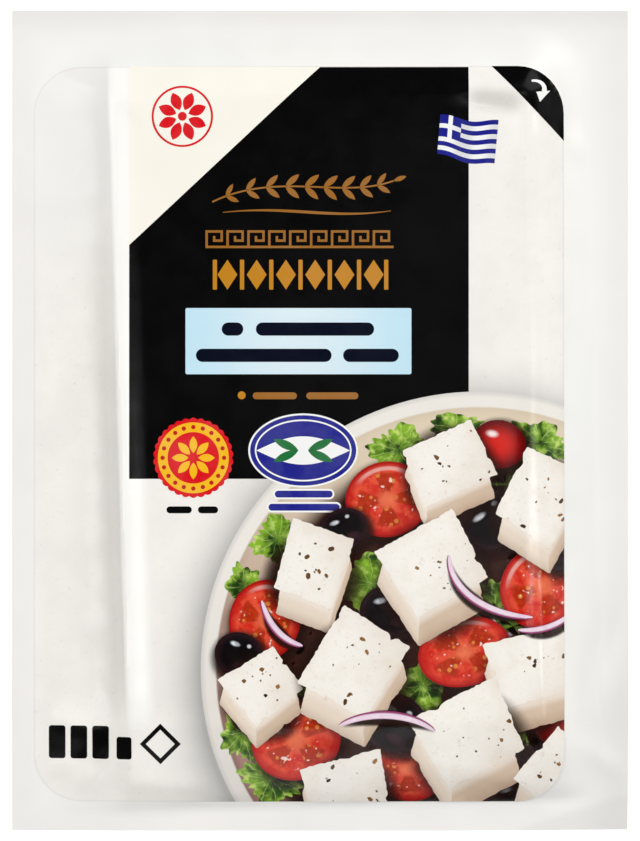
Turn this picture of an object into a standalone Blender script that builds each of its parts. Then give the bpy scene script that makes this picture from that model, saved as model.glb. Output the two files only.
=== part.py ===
"""A sealed flat pack of feta, lying on its back.

A brick of cheese sits in a formed back film, and a front film is sealed over it. The vacuum
pulls the front film tight over the brick and down to a flat seal all round. The pack is shut,
so the cheese and the back film are one solid, and the front film is a second, thin one.
Metres, +Z up, +X right and +Y towards the pack's top edge, origin under the middle of the pack.
"""

import math

import bmesh
import bpy
from mathutils import Vector

# Driving sizes of the pack.
PACK_WIDTH = 0.118
PACK_LENGTH = 0.157
PACK_HEIGHT = 0.0200
SEAL_HEIGHT = 0.0120

# The brick of cheese, which lies a little askew and off the middle.
BRICK_WIDTH = 0.0795
BRICK_LENGTH = 0.1215
BRICK_MIDDLE = Vector((0.0021, 0.0021, 0.0))
BRICK_TURN = math.radians(1.7)
BRICK_CORNER = 0.0050

# Film thicknesses, and the gap that keeps the two solids apart.
FRONT_FILM = 0.00025
BACK_FILM = 0.00040
FILM_GAP = 0.00030

# How far past each side of the brick the front film runs before it lies flat on the seal, how
# far inside that side it starts to round over, and how quickly it falls: (reach, lead, fall).
FRONT_SIDES = {
    "left": (0.0165, 0.0030, 8.0),
    "right": (0.0058, 0.0032, 1.9),
    "bottom": (0.0138, 0.0022, 1.6),
    "top": (0.0056, 0.0034, 1.9),
}
FRONT_EASE = 1.5

# The back film hugs the brick's walls: how far past them it reaches, how far inside them it starts
# to round over, how it bends there and how quickly it rises to the seal.
BACK_REACH = 0.0042
BACK_LEAD = 0.0022
BACK_EASE = 1.9
BACK_FALL = 1.9

# Liquid round the brick plumps the formed pocket, whose outline is a rounded rectangle.
POCKET_LOW = Vector((-0.0548, -0.0729))
POCKET_HIGH = Vector((0.0466, 0.0676))
POCKET_CORNER = 0.0090
PLUMPNESS = 0.0011
PLUMP_EDGE = 0.0080

# Slow waves of the seal: height, lengths across and along the pack, and where they start.
SEAL_WAVE = 0.00035
SEAL_WAVE_LENGTHS = (0.143, 0.121)
SEAL_WAVE_START = (-0.40, 0.60)

# Corners that droop: (corner sign x, corner sign y, drop).
DROOPING_CORNERS = ((1, -1, 0.0022), (1, 1, 0.0009), (-1, -1, 0.0006), (-1, 1, 0.0008))
DROOP_REACH = 0.034

# The brick's top face is not quite flat.
FACE_WAVE = 0.00022
FACE_WAVE_LENGTHS = (0.085, 0.108)
FACE_WAVE_START = (-0.47, 1.27)

# Spacing of the grid lines: fine along the brick's edges, wider on the seal, widest on its face.
FINE_STEP = 0.0012
SEAL_STEP = 0.0042
FACE_STEP = 0.0110
FINE_REACH = 0.0048
STEP_BLEND = 0.0040
EDGE_BLEND = 0.0120

SHARP_ANGLE = math.radians(50)
FILM_WHITE = (0.83, 0.825, 0.80)


def clear_scene():
    """Removes whatever the scene holds."""
    for item in list(bpy.data.objects):
        bpy.data.objects.remove(item, do_unlink=True)


def make_material(name, colour, roughness):
    material = bpy.data.materials.new(name)
    material.use_nodes = True
    shader = material.node_tree.nodes["Principled BSDF"]
    shader.inputs["Base Color"].default_value = (*colour, 1.0)
    shader.inputs["Roughness"].default_value = roughness
    shader.inputs["Metallic"].default_value = 0.0
    return material


def ease(value):
    """Runs smoothly from 0 at 0 to 1 at 1."""
    value = min(1.0, max(0.0, value))
    return value * value * (3.0 - 2.0 * value)


def to_brick(x, y):
    """A point of the pack in the brick's own axes, from the brick's middle."""
    along = Vector((x - BRICK_MIDDLE.x, y - BRICK_MIDDLE.y))
    cos, sin = math.cos(BRICK_TURN), math.sin(BRICK_TURN)
    return along.x * cos + along.y * sin, along.y * cos - along.x * sin


def past_sides(u, v):
    """How far a point lies outside each side of the brick, negative inside."""
    return {
        "left": -u - BRICK_WIDTH / 2,
        "right": u - BRICK_WIDTH / 2,
        "bottom": -v - BRICK_LENGTH / 2,
        "top": v - BRICK_LENGTH / 2,
    }


def past_rounded(u, v, width, length, corner):
    """Distance outside a rounded rectangle about the origin, negative inside."""
    across = abs(u) - (width / 2 - corner)
    along = abs(v) - (length / 2 - corner)
    outside = math.hypot(max(across, 0.0), max(along, 0.0))
    return outside + min(max(across, along), 0.0) - corner


def slope(share, bend, fall):
    """Height share of a film at a share of its way down: 1 at the start, 0 at the end."""
    share = min(1.0, max(0.0, share))
    return (1.0 - share**bend) ** fall


def wave(x, y, lengths, start):
    """A slow wave between -1 and 1."""
    across = math.tau * x / lengths[0] + start[0]
    along = math.tau * y / lengths[1] + start[1]
    return math.cos(across) * math.sin(along)


def inside_pocket(x, y):
    """0 on and outside the pocket's outline, rising to 1 inside it."""
    middle = (POCKET_LOW + POCKET_HIGH) / 2
    size = POCKET_HIGH - POCKET_LOW
    past = past_rounded(x - middle.x, y - middle.y, size.x, size.y, POCKET_CORNER)
    return ease(-past / PLUMP_EDGE)


def seal_level(x, y):
    """Height of the flat seal, with its slow waves and drooping corners."""
    level = SEAL_HEIGHT + SEAL_WAVE * wave(x, y, SEAL_WAVE_LENGTHS, SEAL_WAVE_START)
    for side_x, side_y, drop in DROOPING_CORNERS:
        away = math.hypot(x - side_x * PACK_WIDTH / 2, y - side_y * PACK_LENGTH / 2)
        level -= drop * ease(1.0 - away / DROOP_REACH)
    return level


def face_level(u, v):
    """Underside of the front film over the brick's top face."""
    hollow = FACE_WAVE * (1.0 + wave(u, v, FACE_WAVE_LENGTHS, FACE_WAVE_START))
    return PACK_HEIGHT - FRONT_FILM - hollow


def front_height(x, y):
    """Underside of the front film."""
    u, v = to_brick(x, y)
    share = 1.0
    for side, past in past_sides(u, v).items():
        reach, lead, fall = FRONT_SIDES[side]
        share *= slope((past + lead) / (reach + lead), FRONT_EASE, fall)
    seal = seal_level(x, y)
    plump = PLUMPNESS * inside_pocket(x, y) * (1.0 - share)
    return seal + plump + (face_level(u, v) - seal) * share


def back_height(x, y):
    """Underside of the back film, which is flat where the pack rests."""
    past = past_rounded(*to_brick(x, y), BRICK_WIDTH, BRICK_LENGTH, BRICK_CORNER)
    share = slope((past + BACK_LEAD) / (BACK_REACH + BACK_LEAD), BACK_EASE, BACK_FALL)
    seal = seal_level(x, y) - FILM_GAP - BACK_FILM
    plump = PLUMPNESS * inside_pocket(x, y) * (1.0 - share)
    return (seal - plump) * (1.0 - share)


def body_top_height(x, y):
    """Top of the filled back film, just under the front film."""
    return front_height(x, y) - FILM_GAP


def grid_lines(half, low, high):
    """Positions from -half to half, close together near the brick's edges at low and high."""
    lines = [-half]
    while lines[-1] < half:
        here = lines[-1]
        wide = FACE_STEP if low < here < high else SEAL_STEP
        away = min(abs(here - low), abs(here - high)) - FINE_REACH
        lines.append(here + FINE_STEP + (wide - FINE_STEP) * ease(away / STEP_BLEND))
    stretch = 2.0 * half / (lines[-1] - lines[0])
    return [-half + (line + half) * stretch for line in lines]


def turn_with_brick(x, y):
    """Turns a grid point with the brick, but leaves the pack's straight edges as they are."""
    hold = ease((PACK_WIDTH / 2 - abs(x)) / EDGE_BLEND)
    hold *= ease((PACK_LENGTH / 2 - abs(y)) / EDGE_BLEND)
    angle = BRICK_TURN * hold
    away_x, away_y = x - BRICK_MIDDLE.x, y - BRICK_MIDDLE.y
    turned_x = away_x * math.cos(angle) - away_y * math.sin(angle)
    turned_y = away_x * math.sin(angle) + away_y * math.cos(angle)
    return turned_x + BRICK_MIDDLE.x, turned_y + BRICK_MIDDLE.y


def pack_grid():
    """A flat grid of the pack's outline, whose lines follow the edges of the brick."""
    middle, half_width, half_length = BRICK_MIDDLE, BRICK_WIDTH / 2, BRICK_LENGTH / 2
    columns = grid_lines(PACK_WIDTH / 2, middle.x - half_width, middle.x + half_width)
    rows = grid_lines(PACK_LENGTH / 2, middle.y - half_length, middle.y + half_length)
    mesh = bmesh.new()
    cells_x, cells_y = len(columns) - 1, len(rows) - 1
    bmesh.ops.create_grid(mesh, x_segments=cells_x, y_segments=cells_y, size=0.5)
    for vert in mesh.verts:
        column = columns[round((vert.co.x + 0.5) * cells_x)]
        row = rows[round((vert.co.y + 0.5) * cells_y)]
        vert.co.x, vert.co.y = turn_with_brick(column, row)
    return mesh


def add_node(name, mesh, material, collection):
    data = bpy.data.meshes.new(name)
    mesh.to_mesh(data)
    mesh.free()
    data.materials.append(material)
    data.shade_smooth()
    data.set_sharp_from_angle(angle=SHARP_ANGLE)
    node = bpy.data.objects.new(name, data)
    collection.objects.link(node)
    return node


def make_pack_body(material, collection):
    """The cheese in its formed back film: a slab from the grid, with a top and a bottom."""
    mesh = pack_grid()
    bottom = list(mesh.verts)
    raised = bmesh.ops.extrude_face_region(mesh, geom=list(mesh.faces))["geom"]
    for vert in bottom:
        vert.co.z = back_height(vert.co.x, vert.co.y)
    for item in raised:
        if isinstance(item, bmesh.types.BMVert):
            item.co.z = body_top_height(item.co.x, item.co.y)
    bmesh.ops.recalc_face_normals(mesh, faces=mesh.faces)
    resting = [face for face in mesh.faces if all(vert.co.z == 0.0 for vert in face.verts)]
    bmesh.ops.dissolve_faces(mesh, faces=resting)
    return add_node("pack_body", mesh, material, collection)


def make_front_film(material, collection):
    """The front film: the same grid as one sheet, thickened outwards."""
    mesh = pack_grid()
    for vert in mesh.verts:
        vert.co.z = front_height(vert.co.x, vert.co.y)
    bmesh.ops.recalc_face_normals(mesh, faces=mesh.faces)
    if sum(face.normal.z for face in mesh.faces) < 0.0:
        bmesh.ops.reverse_faces(mesh, faces=mesh.faces)
    node = add_node("front_film", mesh, material, collection)
    wall = node.modifiers.new("film thickness", "SOLIDIFY")
    wall.thickness = FRONT_FILM
    wall.offset = 1.0
    return node


def main():
    clear_scene()
    collection = bpy.data.collections.new("feta_pack")
    bpy.context.scene.collection.children.link(collection)
    make_pack_body(make_material("back film", FILM_WHITE, 0.35), collection)
    make_front_film(make_material("front film", FILM_WHITE, 0.30), collection)


main()
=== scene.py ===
"""Finishes a sealed pack of feta: two white films, the print on the front, and a small studio.

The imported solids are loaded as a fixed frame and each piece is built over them, in metres, with
+Z up and +Y towards the pack's top edge. The front film is a fine grid with the relief of the
brick under it. The print is thin ink: each shape is cut along the grid's own lines and laid on
its facets, so it follows every crease of the film.
"""

import math
import random

import bmesh
import bpy
import numpy as np
from bpy.props import FloatProperty, FloatVectorProperty, PointerProperty
from mathutils import Matrix, Vector
from mathutils.geometry import interpolate_bezier


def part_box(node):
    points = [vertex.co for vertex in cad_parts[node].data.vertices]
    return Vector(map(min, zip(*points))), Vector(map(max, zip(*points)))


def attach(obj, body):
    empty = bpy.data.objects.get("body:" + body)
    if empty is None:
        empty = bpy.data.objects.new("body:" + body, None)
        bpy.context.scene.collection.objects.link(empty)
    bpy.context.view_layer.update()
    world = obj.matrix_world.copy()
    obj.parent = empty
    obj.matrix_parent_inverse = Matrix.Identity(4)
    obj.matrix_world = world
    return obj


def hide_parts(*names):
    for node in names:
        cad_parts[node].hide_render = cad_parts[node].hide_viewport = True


bl_info = {
    "name": "Feta Pack",
    "version": (1, 0, 0),
    "blender": (4, 5, 0),
    "location": "3D View > Sidebar > Feta Pack",
    "description": "Builds the films, the print and the studio of a sealed pack of feta",
    "category": "Object",
}

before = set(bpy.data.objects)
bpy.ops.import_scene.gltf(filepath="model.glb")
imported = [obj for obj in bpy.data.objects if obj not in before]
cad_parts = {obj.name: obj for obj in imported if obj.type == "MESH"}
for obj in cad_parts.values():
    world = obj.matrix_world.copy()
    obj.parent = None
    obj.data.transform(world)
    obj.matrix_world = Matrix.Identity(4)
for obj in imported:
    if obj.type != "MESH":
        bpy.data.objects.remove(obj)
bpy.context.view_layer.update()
BODY_LOW, BODY_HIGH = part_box("pack_body")
_, FILM_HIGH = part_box("front_film")

MM = 0.001

# Sizes of the pack and of the relief that its brick of cheese gives the films, close to those of
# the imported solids.
PACK_WIDTH = BODY_HIGH.x - BODY_LOW.x
PACK_LENGTH = BODY_HIGH.y - BODY_LOW.y
PACK_HEIGHT = FILM_HIGH.z
SEAL_HEIGHT = 12.8 * MM
FRONT_FILM = 0.25 * MM
BACK_FILM = 0.40 * MM
FILM_GAP = 0.30 * MM
FLANGE = 0.68 * MM
BRICK_WIDTH = 79.5 * MM
BRICK_LENGTH = 121.5 * MM
BRICK_MIDDLE = (2.1 * MM, 2.1 * MM)
BRICK_TURN = math.radians(1.7)
BRICK_CORNER = 5.0 * MM

# How far past each side of the brick the front film runs, and how far inside it starts to fall.
FRONT_SIDES = {
    "left": (16.8 * MM, -0.4 * MM),
    "right": (10.2 * MM, 0.8 * MM),
    "bottom": (15.2 * MM, 0.6 * MM),
    "top": (12.0 * MM, 0.8 * MM),
}

# Share of the left side's fall that lies close to the brick, and of the lower side's that is even.
STEEP_PART = 0.72
STEEP_FADE = 0.50
STEEP_FADE_RUN = 34.0 * MM
STEEP_PAST = 4.0 * MM
STEEP_END = 15.0 * MM
STEEP_REST = 0.4
EVEN_PART = 0.50

# The back film's fall beside the brick, and the pocket that the liquid plumps.
BACK_REACH = 4.2 * MM
BACK_LEAD = 2.2 * MM
BACK_EASE = 1.9
BACK_FALL = 1.9
POCKET_LOW = (-54.8 * MM, -72.9 * MM)
POCKET_HIGH = (46.6 * MM, 67.6 * MM)
POCKET_CORNER = 9.0 * MM
PLUMPNESS = 0.5 * MM
PLUMP_EDGE = 10.0 * MM
SEAL_WAVE = 0.35 * MM
SEAL_WAVE_LENGTHS = (143 * MM, 121 * MM)
SEAL_WAVE_START = (-0.40, 0.60)
DROOPING_CORNERS = ((1, -1, 1.2 * MM), (1, 1, 0.9 * MM), (-1, -1, 0.6 * MM), (-1, 1, 0.8 * MM))
DROOP_REACH = 34 * MM
FACE_WAVE = 0.22 * MM
FACE_WAVE_LENGTHS = (85 * MM, 108 * MM)
FACE_WAVE_START = (-0.47, 1.27)

# Creases of the front film, in millimetres from the pack's middle: start, end, height, width.
FRONT_CREASES = (
    ((-37, -68.6), (-23, -69.8), 0.90, 1.9),
    ((-37, -60), (-46, -73), 1.00, 1.8),
    ((-34, -62), (-21, -72), 0.70, 1.6),
    ((-52, -66), (-39, -70), 0.55, 2.4),
    ((-41, -60), (-46, -72), -0.45, 1.8),
    ((-41, -60), (-52, -56), 0.28, 1.8),
    ((-40, -55), (-46, -40), -0.25, 2.0),
    ((-39.5, 60), (-49, 67), 0.35, 1.8),
    ((60.5, -32), (60.0, -62), 0.95, 5.0),
    ((-40, 56), (-46, 40), 0.22, 2.2),
    ((42, 63), (50, 71), 0.10, 2.4),
    ((44, 55), (53, 50), 0.25, 2.4),
    ((59, -30), (50, -55), -0.80, 3.6),
    ((50, -34), (58, -56), 0.30, 2.2),
    ((47.5, -60), (58, -68), 0.60, 2.2),
    ((38, -62), (44, -76), 0.40, 2.6),
    ((8, -66), (20, -72), 0.25, 2.6),
    ((-8, 66.5), (-2, 75), 0.20, 2.2),
    ((-57, 8), (-45, 2), 0.18, 2.6),
    ((52, 18), (58, 6), 0.22, 3.0),
)

# Dents of the film on the brick itself, and the corner that is turned down past a line.
FACE_DENTS = (
    ((27.0, 63.8), (40.0, 62.4), 0.40, 1.8),
    ((29.0, 60.0), (39.5, 59.0), -0.75, 2.2),
    ((38.6, 60.0), (38.2, 53.0), -0.35, 1.3),
    ((-39, 63), (-33, 57), 0.30, 1.8),
    ((40.0, 6), (38.8, -44), 0.22, 1.3),
    ((-34, -57.6), (41, -58.6), 0.14, 1.2),
    ((24, -46), (40, -53), -0.10, 3.4),
    ((-28, -44), (-37, -53), -0.14, 3.0),
)
TURNED_CORNER = ((37.2, -78.5), (59.0, -71.6), 0.24)

# Painted shade beside the ridge and in the dent at the upper right; a darker line at the print's edge.
RIDGE_SHADE = 0.22
DENT_SHADE_LINE = ((30.5, 61.3), (36.0, 60.6))
EDGE_SHADE = 0.20

# Creases of the formed back film at the brick's corners and walls.
BACK_CREASES = (
    ((-38, -57), (-50, -70), -0.9, 1.3),
    ((-41, -50), (-52, -58), -0.6, 1.3),
    ((-30, -61), (-36, -73), -0.6, 1.3),
    ((43, -57), (54, -69), -0.9, 1.4),
    ((46, -50), (55, -55), -0.5, 1.2),
    ((34, -61), (40, -73), -0.6, 1.3),
    ((-42, 61), (-51, 70), -0.9, 1.3),
    ((-44, 52), (-53, 56), -0.6, 1.3),
    ((-32, 65), (-36, 73), -0.6, 1.2),
    ((40, 63), (51, 71), -0.9, 1.3),
    ((43, 54), (53, 60), -0.5, 1.3),
    ((30, 65), (34, 73), -0.6, 1.2),
)

# The film stands up in a low lip along the brick's left edge.
LIP_HEIGHT = 0.48 * MM
LIP_WIDTH = 4.6 * MM
LIP_PAST = 1.0 * MM
LIP_END = 9.0 * MM

# Fine unevenness of the films: height and range of wave lengths.
FLAT_RIPPLE = (0.055 * MM, 9 * MM, 26 * MM)
WALL_RIPPLE = (0.15 * MM, 7 * MM, 16 * MM)
TOP_EDGE_LIFT = 0.3 * MM
TOP_EDGE_REACH = 7.0 * MM

# Film greyer along all edges; painted shade at the top edge and the right edge, more so low down.
SEAL_SHADE = 0.6
SEAL_SHADE_REACH = 11 * MM
TOP_SHADE = 0.13
TOP_SHADE_RANGE = (PACK_LENGTH / 2 - 4.5 * MM, PACK_LENGTH / 2 - 0.5 * MM)
RIGHT_SHADE = 0.08
RIGHT_SHADE_RANGE = (47 * MM, 57 * MM)
LOW_SHADE = 0.19
LOW_SHADE_RANGE = (-44 * MM, -22 * MM)

# The films' facets, and how far each layer of ink lies above the one before.
FACET = 0.8 * MM
COLUMNS = round(PACK_WIDTH / FACET)
ROWS = round(PACK_LENGTH / FACET)
FACET_X = PACK_WIDTH / COLUMNS
FACET_Y = PACK_LENGTH / ROWS
INK_STEP = 0.012 * MM
INK_THICKNESS = 0.006 * MM
SHARP_ANGLE = math.radians(50)
WEB_GAP = 0.03 * MM

# Shine of the film and of the inks under it, and the inks' mean roughness.
FILM_IOR = 1.47
FILM_SHINE = 0.5
INK_SHINE = 0.28
DARK_SHINE = 0.10
INK_ROUGHNESS = 0.20

# The print's fields, in millimetres from the pack's middle.
PANEL_LEFT, PANEL_RIGHT = -36.3, 28.3
PANEL_LOW, PANEL_HIGH = -11.1, 67.4
PANEL_CUT = ((-36.3, 33.4), (0.0, 67.4))
BOX_LOW, BOX_HIGH = (-25.6, 8.8), (17.4, 21.4)
PEEL_CUT = ((32.7, 67.6), (46.6, 53.4))
DISH_MIDDLE = (30.2, -47.4)

# A length far past the print, in millimetres.
FAR = 90.0

# The print's rounded outline, in millimetres.
PRINT_LOW = [value / MM for value in POCKET_LOW]
PRINT_HIGH = [value / MM for value in POCKET_HIGH]
PRINT_CORNER = POCKET_CORNER / MM
CORNER_STEPS = 10

# Layers of ink, from the film up.
GROUND, PANEL, DISH, BOX, ORNAMENT, BADGE = 1, 2, 3, 3, 4, 5
LEAVES, TOMATOES, OLIVES, BACK_BLOCKS, FRONT_BLOCKS, TOP_FOOD = 4, 7, 9, 11, 16, 20

# Ornaments: left, right, middle and height of each bar or band, in millimetres.
SPRIG_LINE = ((-20.5, 41.6), (-8.0, 47.6), (4.0, 42.0), (14.0, 45.6))
FLOURISH_LINE = ((-18.5, 39.6), (-6.0, 41.0), (2.0, 38.2), (13.5, 39.9))
KEY_BAND = (-21.8, 14.0, 34.5, 3.4)
LOZENGE_BAND = (-20.4, 13.0, 27.75, 5.7)
BOX_BARS = ((-18.7, -14.6, 17.4, 2.5), (-12.2, 10.3, 17.4, 2.5))
BOX_BARS += ((-23.6, 2.2, 12.4, 2.5), (4.4, 15.0, 12.4, 2.5))
NOTE_BARS = ((-12.8, -4.4, 4.7, 1.3), (-2.6, 7.3, 4.7, 1.3))
NOTE_DOT = ((-14.9, 4.8), 0.76)
ROUND_BARS = ((-29.2, -24.4, -17.0, 1.3), (-23.2, -19.4, -17.0, 1.3))
OVAL_BARS = ((-8.6, 2.4, -14.0, 1.3), (-9.8, 3.7, -16.5, 1.3))
MARK_BARS = ((-51.9, -48.7, 6.3), (-47.7, -44.5, 6.3), (-43.5, -40.3, 6.3), (-38.8, -35.9, 4.3))
MARK_FOOT = -64.6
MARK_LOZENGE = ((-30.4, -61.6), (3.9, 3.9), 0.75)
ROSETTE_MIDDLE = (-26.2, 57.9)
ROUND_MIDDLE = (-24.1, -7.1)
ROUND_SCALLOPS = (7.64, 0.34, 30)
ROUND_DOTS = 20
PETALS = 8
OVAL_MIDDLE = (-3.2, -5.7)
OVAL_RADII = (10.1, 6.7)
OVAL_RINGS = ((0, (10.45, 7.05), (10.1, 6.7)), (1, (9.2, 5.9), (8.9, 5.6)))
BAR_RIM = 0.35
FLAG_CORNERS = ((22.3, 50.4), (33.2, 48.5), (22.9, 57.9), (34.0, 56.8))
ARROW_LINE = ((40.3, 64.7), (42.0, 65.0), (43.1, 63.9), (42.7, 62.7))
ARROW_HEAD = ((41.2, 62.6), (41.9, 60.7), (43.9, 62.9))

# The salad in the dish: middle, size, turn and drop of each block, then the other foods.
BACK_CHEESE = (
    ((24.5, -8.0), (15.0, 13.0), 24, 4.6),
    ((42.0, -14.5), (15.5, 14.0), 62, 5.4),
    ((-1.5, -27.5), (14.5, 12.5), 72, 5.2),
    ((-11.0, -50.5), (12.5, 11.5), 34, 4.6),
    ((40.5, -47.0), (15.5, 14.0), 16, 5.6),
    ((5.5, -70.5), (15.5, 12.5), 14, 4.6),
)
FRONT_CHEESE = (
    ((21.5, -27.5), (17.5, 15.5), 31, 6.0),
    ((6.5, -46.0), (17.5, 15.0), 60, 6.0),
    ((28.5, -59.5), (18.5, 16.0), 25, 6.4),
    ((45.0, -67.0), (13.5, 12.0), 50, 5.2),
)
TOMATOES_CUT = (
    ((12.8, -15.0), (8.0, 7.2), 10, 0.10),
    ((42.5, -31.5), (8.6, 7.8), 40, 0.22),
    ((-10.5, -38.0), (6.8, 7.8), -15, 0.31),
    ((27.5, -44.0), (9.0, 6.6), 15, 0.05),
    ((-4.5, -61.0), (8.6, 7.6), 20, 0.38),
    ((16.5, -66.5), (7.4, 6.2), -20, 0.17),
    ((46.0, -57.0), (5.6, 5.2), 0, 0.90),
    ((34.0, -4.5), (5.2, 4.6), -10, 0.80),
)
OLIVES_BLACK = (
    ((33.0, -19.0), (6.6, 5.2), 35),
    ((-15.5, -44.5), (4.6, 4.2), -20),
    ((13.5, -36.0), (6.0, 5.0), 10),
    ((14.0, -57.5), (6.6, 5.6), -25),
    ((37.5, -72.0), (6.2, 4.6), 15),
    ((45.5, -23.5), (4.0, 5.0), 0),
    ((4.5, -20.5), (4.6, 3.8), 20),
)
LEAVES_GREEN = (
    ((15.0, -5.5), (6.4, 5.0), 20),
    ((33.0, -9.5), (7.8, 6.4), -30),
    ((41.5, -4.5), (7.0, 4.8), -20),
    ((25.5, -1.5), (5.6, 3.4), 10),
    ((-8.0, -22.5), (5.6, 4.8), 40),
    ((9.5, -31.0), (7.2, 6.0), 15),
    ((33.5, -37.0), (8.2, 6.4), -20),
    ((-14.5, -59.5), (4.8, 5.8), 10),
    ((-1.5, -53.5), (6.6, 5.0), 70),
    ((19.5, -50.5), (6.0, 5.0), 70),
    ((14.5, -71.5), (6.8, 5.6), 0),
    ((40.0, -57.0), (6.6, 5.6), 30),
    ((-9.5, -68.5), (6.4, 5.0), -30),
    ((-14.5, -31.5), (3.6, 4.6), 10),
)
ONIONS_UNDER = (
    ((31.0, -30.0), (12.0, 12.0), 205, 300, 1.9),
    ((-3.0, -42.0), (10.0, 9.0), 120, 215, 1.7),
    ((44.0, -37.0), (11.0, 9.0), 185, 265, 1.6),
    ((2.0, -58.0), (12.0, 10.0), 195, 290, 1.8),
)
ONIONS_OVER = (
    ((41.0, -26.0), (16.5, 11.5), 178, 268, 1.5),
    ((39.5, -27.5), (13.0, 12.5), 262, 318, 1.3),
    ((12.0, -64.0), (12.5, 8.0), 38, 132, 1.5),
    ((-2.0, -31.0), (9.5, 12.0), 196, 262, 1.4),
)
PEPPER_SPECKS = 12

# The studio: each lamp's name, place and size in metres, then the floor, and the photo's picture
# height in pixels, its scale, and the height above the floor at which that scale holds.
LAMPS = (
    ("key", (0.76, 0.70, 0.75), (0.9, 0.9)),
    ("side", (1.05, -0.10, 0.42), (0.7, 0.7)),
    ("fill", (-0.72, 0.30, 0.85), (0.8, 0.8)),
    ("low", (-0.25, -0.85, 0.75), (0.9, 0.9)),
    ("strip", (0.31, 0.0, 1.04), (0.05, 0.5)),
    ("spot", (0.31, -0.06, 1.03), (0.05, 0.10)),
)
FLOOR_RADIUS = 3.0
FLOOR_GLOW = 0.45
PHOTO_HEIGHT = 841
PHOTO_PIXEL = 118.0 * MM / 618
PHOTO_PLANE = 16.0 * MM


def shade(red, green, blue):
    """An 8-bit display colour as the linear colour that materials take."""
    values = (channel / 255.0 for channel in (red, green, blue))
    return tuple(v / 12.92 if v <= 0.04045 else ((v + 0.055) / 1.055) ** 2.4 for v in values)


def colour_property(name, description, red, green, blue):
    """A colour that a user can change, with its default."""
    return FloatVectorProperty(
        name=name,
        description=description,
        subtype="COLOR",
        size=3,
        min=0.0,
        max=1.0,
        default=shade(red, green, blue),
    )


class FilmSettings(bpy.types.PropertyGroup):
    """Colours and gloss of the two films."""

    white: colour_property("Film White", "Colour of both films", 249, 247, 242)
    cool: colour_property("Cool Patches", "Colour of the film's cooler patches", 245, 245, 241)
    seal: colour_property("Seal Edge", "Greyer film along the cut edges", 240, 236, 233)
    roughness: FloatProperty(
        name="Roughness", description="Mean roughness of the film", default=0.40, min=0.0, max=1.0
    )
    grain: FloatProperty(
        name="Grain",
        description="Height of the film's fine grain",
        default=0.012 * MM,
        min=0.0,
        unit="LENGTH",
        precision=6,
    )


class PrintSettings(bpy.types.PropertyGroup):
    """Colours of the inks."""

    stone: colour_property("Stone", "Pale stone ground of the print", 248, 244, 238)
    stone_vein: colour_property("Stone Vein", "Darker clouds of the stone", 238, 235, 230)
    stone_cool: colour_property("Stone Cool", "Cooler stone at the upper left", 243, 241, 237)
    cream: colour_property("Cream", "Cut corner of the dark panel", 252, 248, 236)
    black: colour_property("Black", "Dark panel and peel corner", 7, 7, 7)
    gold: colour_property("Gold", "Bold gold ornaments", 196, 132, 30)
    bronze: colour_property("Bronze", "Fine gold lines", 158, 104, 40)
    sky: colour_property("Sky", "Light box", 198, 232, 246)
    navy: colour_property("Navy", "Bars in the light box", 6, 12, 30)
    red: colour_property("Red", "Corner ornament and seal", 222, 12, 26)
    yellow: colour_property("Yellow", "Ring of the seal", 250, 190, 20)
    blue: colour_property("Blue", "Oval badge and flag", 26, 30, 138)
    green: colour_property("Green", "Leaves of the oval badge", 14, 112, 50)
    white: colour_property("White", "White ink", 248, 248, 246)


class PictureSettings(bpy.types.PropertyGroup):
    """Colours of the salad picture, and the sizes of its dish."""

    dish_radius: FloatProperty(
        name="Dish Radius", description="Outer radius of the dish", default=52.9 * MM, unit="LENGTH"
    )
    dish_rim: FloatProperty(
        name="Dish Rim", description="Width of the dish's rim", default=2.9 * MM, unit="LENGTH"
    )
    china: colour_property("China", "Rim of the dish", 240, 236, 228)
    cheese: colour_property("Cheese", "Lit tops of the cheese blocks", 250, 246, 238)
    cheese_side: colour_property("Cheese Side", "Shaded sides of the blocks", 234, 218, 200)
    cheese_dark: colour_property("Cheese Shade", "Darker sides of the blocks", 212, 188, 164)
    skin: colour_property("Tomato Skin", "Skin of the tomatoes", 168, 16, 14)
    flesh: colour_property("Tomato Flesh", "Cut flesh of the tomatoes", 208, 34, 22)
    olive: colour_property("Olive", "Dark olives", 10, 4, 6)
    leaf: colour_property("Leaf", "Bright edges of the leaves", 138, 184, 48)
    leaf_dark: colour_property("Leaf Shade", "Depths of the leaves", 44, 84, 20)
    onion: colour_property("Onion", "Rim of the onion rings", 150, 60, 110)


def power_property(name, default):
    """Power of a lamp, in watts."""
    about = "Power of the " + name.lower()
    return FloatProperty(name=name, description=about, default=default, min=0.0, unit="POWER")


class StudioSettings(bpy.types.PropertyGroup):
    """The floor, the lamps and the camera."""

    floor: colour_property("Floor", "Colour of the floor", 236, 236, 236)
    key_power: power_property("Key Lamp", 9.7)
    fill_power: power_property("Fill Lamp", 6.7)
    side_power: power_property("Side Lamp", 1.8)
    low_power: power_property("Low Lamp", 4.4)
    strip_power: power_property("Strip Lamp", 0.5)
    spot_power: power_property("Small Lamp", 0.45)
    lens: FloatProperty(
        name="Lens", description="Focal length in millimetres", default=250.0, min=50.0, max=400.0
    )


# Relief of the films, at arrays of points.


def ease(value):
    """Runs smoothly from 0 at 0 to 1 at 1."""
    value = np.clip(value, 0.0, 1.0)
    return value * value * (3.0 - 2.0 * value)


def to_brick(x, y):
    """Points of the pack in the brick's own axes, from the brick's middle."""
    across, along = x - BRICK_MIDDLE[0], y - BRICK_MIDDLE[1]
    cos, sin = math.cos(BRICK_TURN), math.sin(BRICK_TURN)
    return across * cos + along * sin, along * cos - across * sin


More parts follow.
